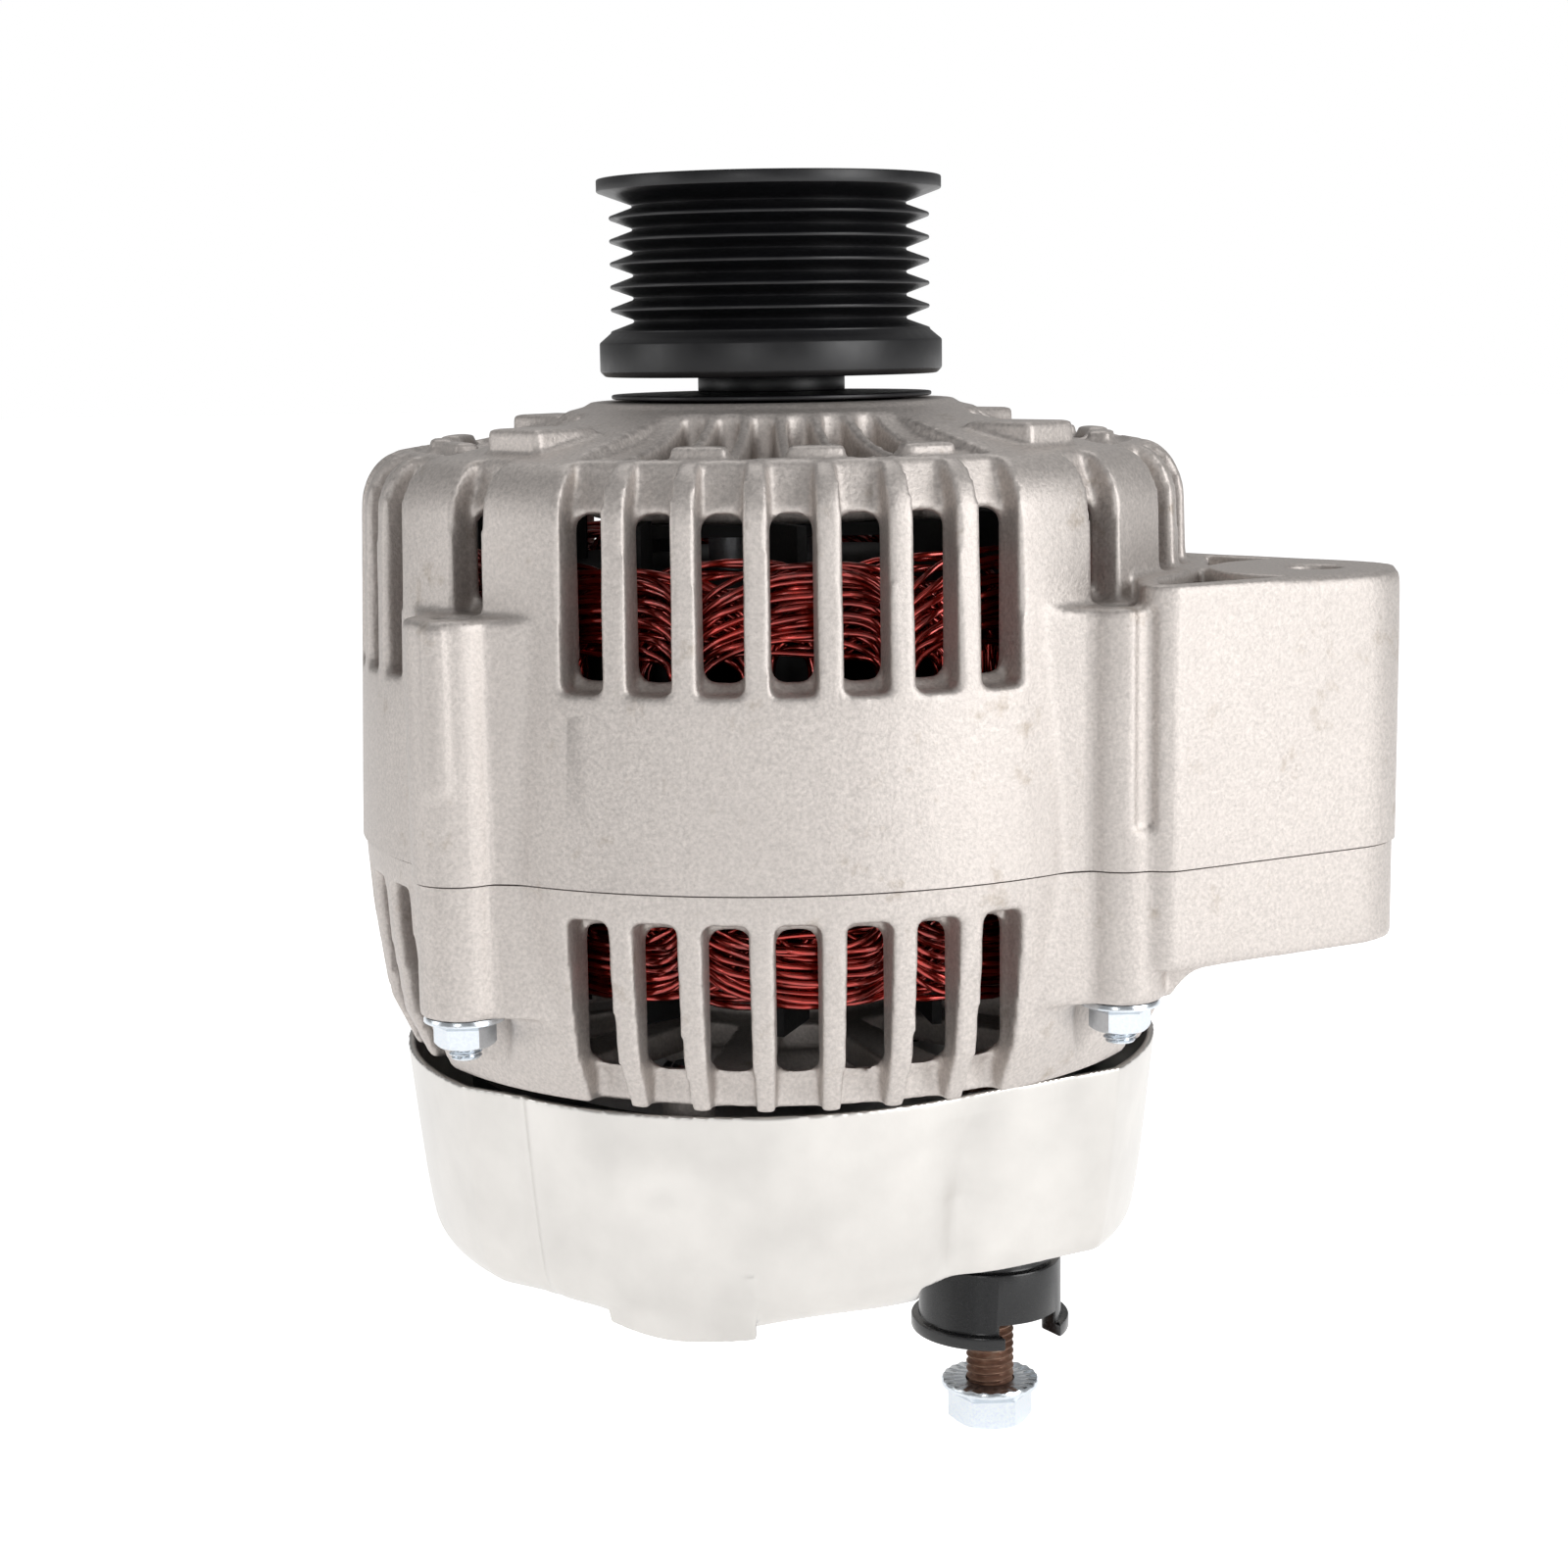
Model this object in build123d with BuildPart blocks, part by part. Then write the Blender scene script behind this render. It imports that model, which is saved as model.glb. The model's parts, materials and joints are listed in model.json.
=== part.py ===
from build123d import *
import math
import os

# Automotive alternator with a six-groove belt pulley.
# Millimetres, +Z along the shaft towards the pulley.
# The origin is on the rotor axis, in the middle plane of the six belt grooves.

# Belt pulley
belt_grooves = 6
groove_pitch = 3.56
groove_angle = 40
rib_tip_d = 50.6
groove_root_d = 43.3
pulley_d = 54.4
front_rim = 2.4
back_rim = 6.9
rim_chamfer = 1.6
nut_recess_d = 36
nut_recess_depth = 14
pulley_nut_af = 22
pulley_nut_height = 9.5

# Shaft, collar and dust slinger
shaft_d = 17
shaft_thread_d = 14
shaft_shoulder_d = 21
rear_journal_d = 15
ring_seat_d = 9
shaft_fit = 0.03
collar_d = 23.4
collar_length = 2.5
slinger_d = 51
slinger_thickness = 1.0
slinger_gap = 0.42

# Ball bearings: outer diameter, width, ball diameter and number of balls
front_bearing_d = 47
front_bearing_width = 14
front_ball_d = 8.7
front_balls = 7
rear_bearing_d = 35
rear_bearing_width = 11
rear_ball_d = 5.95
rear_balls = 8
ball_clearance = 0.12
seal_thickness = 0.8
seal_gap = 0.3
seat_fit = 0.03

# Drive end frame
nose_d = 59.8
nose_lip = 4.0
nose_bore_d = 40
deck_edge_drop = 0.8
shoulder_drop = 7.0
shoulder_ring_d = 117.2
shoulder_height = 9.0
barrel_d = 134.4
barrel_draft = 1.8
deck_thickness = 4.5
front_frame_length = 67.4
cavity_d = 120
cavity_corner = 4.2
pad_width = 11
pad_length = 12
pad_height = 2.4
pad_radius = 50

# Rear end frame
rear_frame_length = 33.2
rear_floor_thickness = 4.5
rear_step = 0.5
rear_hub_wall = 4.0
rear_lip = 1.0

# Cooling slots of the two frames, on a nine degree pitch
slot_pitch = 9
slots_per_side = 7
slot_width = 6.0
groove_width = 6.5
groove_floor_d = 122.4
slot_corner = 2.0
window_inner_r = 32.5
window_outer_r = 55
fin_thickness = 1.8

# Through studs that clamp the frames
stud_d = 5
stud_circle_r = 68.5
stud_boss_r = 7
stud_boss_top = 29
stud_boss_bottom = 20.1
stud_nut_af = 8
stud_nut_flange_d = 12
stud_nut_height = 4.7
stud_end = 2.0

# Pivot lug and adjusting ear
lug_x = 81.1
lug_y = -28.4
lug_r = 13
lug_hole_d = 8.4
lug_top_drop = 25.8
lug_rear_length = 15
lug_near_x = 54.5
lug_near_y = -51.5
lug_far_x = 62
lug_far_y = 2
lug_foot_r = 4
lug_wall = 6
ear_angle = 105
ear_r = 82
ear_boss_r = 9
ear_hole_d = 8
ear_top_drop = 28
ear_thickness = 22

# Stator
core_d = 126
core_length = 31
core_register = 3.6
stator_bore_d = 100.6
stator_slots = 36
stator_slot_width = 4.4
stator_slot_bottom_r = 59.4
winding_inner_r = 51.8
winding_outer_r = 58.2
front_overhang = 21.7
rear_overhang = 17.9
winding_crown = 4.0

# Rotor
rotor_d = 99.8
pole_pack_length = 55
pole_plate = 11.5
claws = 6
claw_root_width = 25
claw_tip_width = 9
claw_root_depth = 13
claw_tip_depth = 5
claw_tip_gap = 2.5
rotor_core_d = 56
bobbin_wall = 1.5
field_coil_d = 74
fan_plate = 1.5
fan_blades = 12
fan_outer_r = 48.5
fan_inner_r = 37.5
front_fan_height = 11
rear_fan_height = 9.5
blade_thickness = 1.5
fan_lean = 22

# Slip rings and brushes
carrier_d = 12
slip_ring_d = 14.4
slip_ring_width = 6
slip_ring_space = 3
slip_ring_lead = 5
brush_axial = 4.6
brush_wide = 6.4
brush_length = 12
brush_gap = 0.25
brush_clearance = 0.3
brush_holder_wall = 1.8
brush_travel = 3.5
spring_length = 8
spring_d = 3.6
spring_wire = 0.6
spring_turns = 5

# Rear cover
cover_gap = 1.5
cover_height = 34
cover_sheet = 1.2
cover_draft = 6
cover_corner = 7
cover_side_r = 61.3
cover_front_r = 57
cover_raise = 3.7
cover_stud_circle_r = 46
cover_stud_angles = (20, 165, 250)
cover_pocket_r = 8.5
cover_pocket_depth = 6.5

# Output terminal
terminal_x = 33.0
terminal_y = -13.4
terminal_stud_d = 7.8
insulator_cup_d = 20.8
insulator_step_d = 23.2
insulator_flange_d = 25.8
insulator_flange_thickness = 2.2
insulator_end = 14.5
terminal_nut_af = 12
terminal_nut_flange_d = 16
terminal_nut_height = 7
terminal_thread = 9

# Shared small hardware and clearances
screw_d = 4
screw_head_d = 7
screw_head = 2.2
screw_length = 6
hole_clearance = 0.3
post_r = 4

# Details of the frames
slinger_cone = 0.35
race_depth = 0.15
slot_top_drop = 7.4
slot_bottom_rise = 2.1
rear_slot_lead = 2.4
rear_slot_rise = 5.7
stud_recess = 1.0
nut_room = 0.8
lug_pocket_depth = 30
retainer_circle_r = 31
retainer_boss_r = 4.5
retainer_thickness = 2
rear_hub_projection = 5.4
rear_window_angles = (5, 155, 185, 215, 245, 275, 305, 335)
rear_window_outer_r = 52
rear_window_lead = 4
rear_window_inner_half = 3.5
rear_window_outer_half = 9.5
rear_upper_inset = 0.8
rear_upper_share = 0.35
rear_lower_inset = 2.6
rear_lower_share = 0.75
rear_edge_inset = 6.5
boss_foot = 4
boss_slot_gap = 1.2
groove_lip = 1.5
retainer_overlap = 3
screw_end_gap = 0.5
rear_seat_lip = 2.5

# Details of the windings and brushes
slot_liner = 0.2
holder_ear_x = 11.5
holder_ear_y = 22
holder_ear_r = 4
holder_ear_thickness = 5

# Details of the rear cover
crease_angle = -137.6
notch_angle = -145
dip_angle = -60
right_angle = -34
crease_step = 1.9
dip_step = 3
raise_x = 19
raise_y = -20
vent_angles = (60, 90, 120, 200, 225, 275, 300)
vent_circle_r = 25
vent_length = 12
vent_width = 4

# Rectifier
spacer_thickness = 4
sink_thickness = 3
sink_inner_r = 20
sink_outer_r = 51
sink_start_angle = 150
sink_end_angle = 32
diode_d = 12.7
diode_stand = 2.5
diode_circle_r = 36
diode_angles = (170, 195, 220, 245, 270, 295)
stud_insulation = 1
block_gap = 5
block_thickness = 4

# Regulator and its connector
regulator_x = 27
regulator_y = 33.25
regulator_wide = 21
regulator_deep = 15.5
regulator_height = 16
socket_width = 20
socket_height = 12
socket_length = 22
socket_wall = 1.6
socket_depth = 12

# Details of the output terminal
insulator_wall = 1.8
insulator_hollow = 7
insulator_step_drop = 6
insulator_notch_angle = -60
insulator_notch_width = 11
insulator_notch_height = 3.7

# Levels along the shaft, worked out from the sizes above
belt_half = belt_grooves * groove_pitch / 2
pulley_front_z = belt_half + front_rim
pulley_back_z = -belt_half - back_rim
slinger_top_z = pulley_back_z - collar_length
slinger_bottom_z = slinger_top_z - slinger_thickness
nose_z = slinger_bottom_z - slinger_gap
front_bearing_z = nose_z - nose_lip
front_bearing_back_z = front_bearing_z - front_bearing_width
shoulder_z = nose_z - shoulder_drop
deck_under_z = shoulder_z - deck_thickness
parting_z = nose_z - front_frame_length
rear_floor_z = parting_z - rear_frame_length
rear_inside_z = rear_floor_z + rear_floor_thickness
core_back_z = parting_z - core_register
core_front_z = core_back_z + core_length
core_middle_z = (core_front_z + core_back_z) / 2
pole_front_z = core_middle_z + pole_pack_length / 2
pole_back_z = core_middle_z - pole_pack_length / 2
nose_edge_z = nose_z - deck_edge_drop


def turned(*outline):
    """A solid of revolution about the shaft axis from (radius, height) points."""
    with BuildPart() as form:
        with BuildSketch(Plane.XZ):
            with BuildLine():
                Polyline(*outline, close=True)
            make_face()
        revolve(axis=Axis.Z)
    return form.part


def spin_places(angles):
    """Locations that turn a form about the shaft axis."""
    return [Location((0, 0, 0), (0, 0, angle)) for angle in angles]


def flange_nut(across_flats, flange_d, height, bore_d):
    """A hexagon nut with a pressed flange, standing on Z = 0 and pointing down."""
    flange = height * 0.3
    with BuildPart() as nut:
        with BuildSketch(Plane.XY):
            Circle(flange_d / 2)
        extrude(amount=-flange)
        with BuildSketch(Plane.XY.offset(-flange)):
            RegularPolygon(across_flats / 2, 6, major_radius=False)
        extrude(amount=-(height - flange))
        with BuildSketch(Plane.XY):
            Circle(bore_d / 2)
        extrude(amount=-height, mode=Mode.SUBTRACT)
    return nut.part


# Pulley: six V grooves between two rims, with a recess for its nut
flank = math.tan(math.radians(groove_angle / 2))
tip_r = rib_tip_d / 2
root_r = groove_root_d / 2
rim_r = pulley_d / 2
tip_half = 0.25
root_half = groove_pitch / 2 - tip_half - (tip_r - root_r) * flank
bore_r = shaft_d / 2 + shaft_fit
pulley_outline = [
    (bore_r, pulley_back_z),
    (rim_r - rim_chamfer / 2, pulley_back_z),
    (rim_r, pulley_back_z + rim_chamfer / 2),
    (rim_r, -belt_half - rim_chamfer),
    (tip_r, -belt_half),
]
for groove in range(belt_grooves):
    groove_z = -belt_half + (groove + 0.5) * groove_pitch
    pulley_outline += [
        (tip_r, groove_z - groove_pitch / 2 + tip_half),
        (root_r, groove_z - root_half),
        (root_r, groove_z + root_half),
        (tip_r, groove_z + groove_pitch / 2 - tip_half),
    ]
pulley_outline += [
    (rim_r, belt_half - tip_half + (rim_r - tip_r) * flank),
    (rim_r, pulley_front_z),
    (bore_r, pulley_front_z),
]
nut_seat_z = pulley_front_z - nut_recess_depth
with BuildPart() as pulley:
    add(turned(*pulley_outline))
    with BuildSketch(Plane.XY.offset(pulley_front_z)):
        Circle(nut_recess_d / 2)
    extrude(amount=-nut_recess_depth, mode=Mode.SUBTRACT)

# Shaft with its thread, journals and slip ring seat
rear_bearing_back_z = rear_floor_z - rear_hub_projection + rear_lip
rear_bearing_z = rear_bearing_back_z + rear_bearing_width
ring_zone = slip_ring_lead + 2 * slip_ring_width + slip_ring_space + 1.5
shaft_back_z = rear_bearing_back_z - ring_zone - 1
shaft_front_z = nut_seat_z + pulley_nut_height + 1
rotor_shaft_form = turned(
    (0, shaft_back_z),
    (ring_seat_d / 2, shaft_back_z),
    (ring_seat_d / 2, rear_bearing_back_z - 1),
    (rear_journal_d / 2, rear_bearing_back_z - 1),
    (rear_journal_d / 2, rear_bearing_z),
    (shaft_shoulder_d / 2, rear_bearing_z),
    (shaft_shoulder_d / 2, front_bearing_back_z),
    (shaft_d / 2, front_bearing_back_z),
    (shaft_d / 2, nut_seat_z - 0.5),
    (shaft_thread_d / 2, nut_seat_z - 0.5),
    (shaft_thread_d / 2, shaft_front_z - 1),
    (shaft_thread_d / 2 - 1, shaft_front_z),
    (0, shaft_front_z),
)
with BuildPart() as rotor_shaft:
    add(rotor_shaft_form)
    # Hexagon socket that holds the shaft while its nut is turned
    with BuildSketch(Plane.XY.offset(shaft_front_z)):
        RegularPolygon(3, 6)
    extrude(amount=-6, mode=Mode.SUBTRACT)

with BuildPart() as pulley_nut:
    with BuildSketch(Plane.XY.offset(nut_seat_z)):
        RegularPolygon(pulley_nut_af / 2, 6, major_radius=False)
        Circle(shaft_thread_d / 2 + shaft_fit, mode=Mode.SUBTRACT)
    extrude(amount=pulley_nut_height)

with BuildPart() as shaft_collar:
    with BuildSketch(Plane.XY.offset(slinger_top_z)):
        Circle(collar_d / 2)
        Circle(bore_r, mode=Mode.SUBTRACT)
    extrude(amount=collar_length)

# Dust slinger: a black disc over the nose, with a sleeve down to the bearing
with BuildPart() as dust_slinger:
    add(
        turned(
            (bore_r, slinger_top_z),
            (collar_d / 2, slinger_top_z),
            (slinger_d / 2, slinger_top_z - slinger_cone),
            (slinger_d / 2, slinger_bottom_z),
            (collar_d / 2, slinger_bottom_z),
            (collar_d / 2, front_bearing_z),
            (bore_r, front_bearing_z),
        )
    )


# Ball bearings, made alike in two sizes
def inner_race(bore, pitch_r, ball_d, width):
    shoulder_r = pitch_r - ball_d / 2 + ball_d * race_depth
    with BuildPart() as race:
        with BuildSketch(Plane.XZ):
            with Locations(((bore + shoulder_r) / 2, 0)):
                Rectangle(shoulder_r - bore, width)
            with Locations((pitch_r, 0)):
                Circle(ball_d / 2 + ball_clearance, mode=Mode.SUBTRACT)
        revolve(axis=Axis.Z)
    return race.part


def outer_race(outer_r, pitch_r, ball_d, width):
    shoulder_r = pitch_r + ball_d / 2 - ball_d * race_depth
    with BuildPart() as race:
        with BuildSketch(Plane.XZ):
            with Locations(((outer_r + shoulder_r) / 2, 0)):
                Rectangle(outer_r - shoulder_r, width)
            with Locations((pitch_r, 0)):
                Circle(ball_d / 2 + ball_clearance, mode=Mode.SUBTRACT)
        revolve(axis=Axis.Z)
    return race.part


def bearing_balls(pitch_r, ball_d, count):
    with BuildPart() as balls:
        with PolarLocations(pitch_r, count):
            Sphere(ball_d / 2)
    return balls.part


def bearing_cage(pitch_r, ball_d, count):
    """Crown cage: a ring behind the balls with a pocket round each one."""
    band = ball_d * 0.26
    with BuildPart() as cage:
        with BuildSketch(Plane.XZ):
            with Locations((pitch_r, -ball_d * 0.24)):
                Rectangle(2 * band, ball_d * 0.84)
        revolve(axis=Axis.Z)
        with PolarLocations(pitch_r, count):
            Sphere(ball_d / 2 + ball_clearance, mode=Mode.SUBTRACT)
    return cage.part


def bearing_seals(pitch_r, ball_d, width):
    inner_r = pitch_r - ball_d / 2 + ball_d * race_depth + seal_gap
    outer_r = pitch_r + ball_d / 2 - ball_d * race_depth
    with BuildPart() as seals:
        for face_z in (width / 2 - seal_thickness, -width / 2):
            with BuildSketch(Plane.XY.offset(face_z)):
                Circle(outer_r)
                Circle(inner_r, mode=Mode.SUBTRACT)
            extrude(amount=seal_thickness)
    return seals.part


pieces = {}
bearings = {
    "front_bearing": (
        shaft_d / 2,
        front_bearing_d / 2,
        front_bearing_width,
        front_ball_d,
        front_balls,
        front_bearing_z - front_bearing_width / 2,
    ),
    "rear_bearing": (
        rear_journal_d / 2,
        rear_bearing_d / 2,
        rear_bearing_width,
        rear_ball_d,
        rear_balls,
        rear_bearing_z - rear_bearing_width / 2,
    ),
}
for name, (bore, outer_r, width, ball_d, balls, middle_z) in bearings.items():
    pitch_r = (bore + outer_r) / 2
    forms = {
        "inner_race": inner_race(bore + shaft_fit, pitch_r, ball_d, width),
        "outer_race": outer_race(outer_r, pitch_r, ball_d, width),
        "balls": bearing_balls(pitch_r, ball_d, balls),
        "cage": bearing_cage(pitch_r, ball_d, balls),
        "seals": bearing_seals(pitch_r, ball_d, width),
    }
    for form_name, form in forms.items():
        with BuildPart() as bearing_piece:
            with Locations((0, 0, middle_z)):
                add(form)
        pieces[name + "_" + form_name] = bearing_piece

# Cooling slot tools, standing at +X
barrel_r = barrel_d / 2
shoulder_r = shoulder_ring_d / 2
top_r = barrel_r - barrel_draft
cavity_r = cavity_d / 2
floor_r = groove_floor_d / 2
beyond = barrel_r + 30
slot_top_z = shoulder_z - slot_top_drop
slot_bottom_z = core_front_z + slot_bottom_rise
rear_slot_top_z = core_back_z - rear_slot_lead
rear_slot_bottom_z = rear_floor_z + rear_slot_rise


def groove_tool(*section):
    """A parallel-sided groove from its section in the (radius, height) plane."""
    with BuildPart() as tool:
        with BuildSketch(Plane.XZ):
            with BuildLine():
                Polyline(*section, close=True)
            make_face()
        extrude(amount=groove_width / 2, both=True)
    return tool.part


def opening_tool(top_z, bottom_z):
    """A round-cornered opening through the wall."""
    with BuildPart() as tool:
        with BuildSketch(Plane.YZ.offset(cavity_r - 8)):
            with Locations((0, (top_z + bottom_z) / 2)):
                RectangleRounded(slot_width, top_z - bottom_z, slot_corner)
        extrude(amount=beyond - cavity_r)
    return tool.part


def front_slot(bottom_z):
    return [
        groove_tool(
            (shoulder_r, shoulder_z + 5),
            (beyond, shoulder_z + 5),
            (beyond, bottom_z - groove_lip),
            (floor_r + groove_lip, bottom_z - groove_lip),
            (floor_r, bottom_z),
            (floor_r, slot_top_z),
            (shoulder_r, shoulder_z),
        ),
        opening_tool(slot_top_z, bottom_z),
    ]


half_group = slots_per_side // 2
side_angles = [
    side + step * slot_pitch
    for side in (0, 90, 180, 270)
    for step in range(-half_group, half_group + 1)
]
corner_angles = [45, 135, 225, 315]

# Outer forms that both frames share along the parting line
stud_places = [
    (
        stud_circle_r * math.cos(math.radians(angle)),
        stud_circle_r * math.sin(math.radians(angle)),
    )
    for angle in corner_angles
]
stud_boss_top_z = nose_z - stud_boss_top
stud_boss_bottom_z = parting_z - stud_boss_bottom
lug_top_z = nose_z - lug_top_drop
lug_bottom_z = parting_z - lug_rear_length
ear_x = ear_r * math.cos(math.radians(ear_angle))
ear_y = ear_r * math.sin(math.radians(ear_angle))
ear_top_z = nose_z - ear_top_drop


def boss_plan(inset):
    """Stud bosses with flared feet on the barrel."""
    with BuildSketch() as plan:
        for angle in corner_angles:
            with Locations(Location((0, 0, 0), (0, 0, angle))):
                Polygon(
                    (cavity_r, -2 * stud_boss_r + inset),
                    (cavity_r + boss_foot, -2 * stud_boss_r + inset),
                    (stud_circle_r, -stud_boss_r + inset),
                    (stud_circle_r, stud_boss_r - inset),
                    (cavity_r + boss_foot, 2 * stud_boss_r - inset),
                    (cavity_r, 2 * stud_boss_r - inset),
                    align=None,
                )
                with Locations((stud_circle_r, 0)):
                    Circle(stud_boss_r - inset)
    return plan.sketch


def lug_plan(inset):
    """Pivot lug: the convex outline round its boss and its two feet."""
    with BuildSketch() as plan:
        with Locations((lug_x, lug_y)):
            Circle(lug_r - inset)
        with Locations((lug_near_x, lug_near_y), (lug_far_x, lug_far_y)):
            Circle(lug_foot_r - inset)
        make_hull()
    return plan.sketch


# Drive end frame: nose, slotted deck, slotted barrel, bosses, lug and ear
with BuildPart() as drive_end_frame:
    with BuildSketch(Plane.XZ):
        with BuildLine():
            Polyline(
                (top_r, shoulder_z - shoulder_height),
                (barrel_r, parting_z),
                (0, parting_z),
                (0, nose_z),
                (nose_d / 2 - 1, nose_z),
                (nose_d / 2, nose_edge_z),
                (shoulder_r, shoulder_z),
            )
            EllipticalCenterArc(
                (shoulder_r, shoulder_z - shoulder_height),
                top_r - shoulder_r,
                shoulder_height,
                arc_size=90,
            )
        make_face()
    revolve(axis=Axis.Z)
    with Locations(*spin_places(side_angles)):
        for tool in front_slot(slot_bottom_z):
            add(tool, mode=Mode.SUBTRACT)
    with Locations(*spin_places(corner_angles)):
        for tool in front_slot(stud_boss_top_z + boss_slot_gap):
            add(tool, mode=Mode.SUBTRACT)
    with BuildSketch(Plane.XY.offset(parting_z)):
        add(boss_plan(0))
    extrude(amount=stud_boss_top_z - parting_z)
    with BuildSketch(Plane.XY.offset(parting_z)):
        add(lug_plan(0))
    extrude(amount=lug_top_z - parting_z)
    # Adjusting ear on the far side
    with BuildSketch(Plane.XY.offset(ear_top_z)):
        with Locations((ear_x, ear_y)):
            Circle(ear_boss_r)
        with Locations(
            Location((0, 0, 0), (0, 0, ear_angle)) * Location((barrel_r - 5, 0, 0))
        ):
            Rectangle(6, 3.4 * ear_boss_r)
        make_hull()
    extrude(amount=-ear_thickness)
    # Raised pads over the four deck spokes
    with BuildSketch(Plane.XY.offset(shoulder_z)):
        for angle in corner_angles:
            with Locations(
                Location((0, 0, 0), (0, 0, angle)) * Location((pad_radius, 0, 0))
            ):
                Rectangle(pad_length, pad_width)
    pad_deck_z = shoulder_z + (nose_edge_z - shoulder_z) * (
        (shoulder_r - pad_radius) / (shoulder_r - nose_d / 2)
    )
    extrude(amount=pad_deck_z + pad_height - shoulder_z)
    # Cavity, stator register and bearing seat
    add(
        turned(
            (0, parting_z - 1),
            (core_d / 2 + seat_fit, parting_z - 1),
            (core_d / 2 + seat_fit, core_front_z),
            (cavity_r, core_front_z),
            (cavity_r, deck_under_z - cavity_corner),
            (cavity_r - cavity_corner, deck_under_z),
            (nose_d / 2, deck_under_z),
            (nose_d / 2, front_bearing_back_z),
            (front_bearing_d / 2 + seat_fit, front_bearing_back_z),
            (front_bearing_d / 2 + seat_fit, front_bearing_z),
            (nose_bore_d / 2, front_bearing_z),
            (nose_bore_d / 2, nose_z + 1),
            (0, nose_z + 1),
        ),
        mode=Mode.SUBTRACT,
    )
    # Bosses for the retainer screws, under the spokes
    with BuildSketch(Plane.XY.offset(front_bearing_back_z)):
        with PolarLocations(retainer_circle_r, 4, start_angle=45):
            Circle(retainer_boss_r)
        Circle(front_bearing_d / 2 + seat_fit, mode=Mode.SUBTRACT)
    extrude(until=Until.NEXT)
    with PolarLocations(retainer_circle_r, 4, start_angle=45):
        with Locations((0, 0, front_bearing_back_z)):
            Cylinder(
                screw_d / 2 + shaft_fit,
                screw_length,
                align=(Align.CENTER, Align.CENTER, Align.MIN),
                mode=Mode.SUBTRACT,
            )
    # Deck windows between radial fins
    with BuildSketch(Plane.XY.offset(nose_z + 1)):
        half_gap = math.radians(slot_pitch / 2)
        for side in (0, 90, 180, 270):
            for step in range(-3, 3):
                with Locations(
                    Location((0, 0, 0), (0, 0, side + (step + 0.5) * slot_pitch))
                ):
                    Polygon(
                        (window_inner_r, window_inner_r * half_gap - fin_thickness / 2),
                        (window_outer_r, window_outer_r * half_gap - fin_thickness / 2),
                        (window_outer_r, fin_thickness / 2 - window_outer_r * half_gap),
                        (window_inner_r, fin_thickness / 2 - window_inner_r * half_gap),
                        align=None,
                    )
    extrude(amount=-(nose_z + 1 - deck_under_z + 1), mode=Mode.SUBTRACT)
    # Tapped holes for the studs, the pivot bore and the ear's thread
    with BuildSketch(Plane.XY.offset(parting_z)):
        with Locations(*stud_places):
            Circle(stud_d / 2 + shaft_fit)
    extrude(amount=stud_boss_top_z - parting_z, mode=Mode.SUBTRACT)
    with BuildSketch(Plane.XY.offset(parting_z)):
        with Locations((lug_x, lug_y)):
            Circle(lug_hole_d / 2)
    extrude(amount=lug_top_z - parting_z, mode=Mode.SUBTRACT)
    with BuildSketch(Plane.XY.offset(ear_top_z)):
        with Locations((ear_x, ear_y)):
            Circle(ear_hole_d / 2)
    extrude(amount=-ear_thickness, mode=Mode.SUBTRACT)
    # Pocket between the two webs of the lug
    with BuildSketch(Plane.XY.offset(lug_top_z)):
        add(lug_plan(lug_wall / 2))
        with Locations((lug_x, lug_y)):
            Circle(lug_r + lug_wall / 2, mode=Mode.SUBTRACT)
        Circle(barrel_r + 2, mode=Mode.SUBTRACT)
    extrude(amount=-lug_pocket_depth, mode=Mode.SUBTRACT)

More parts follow.
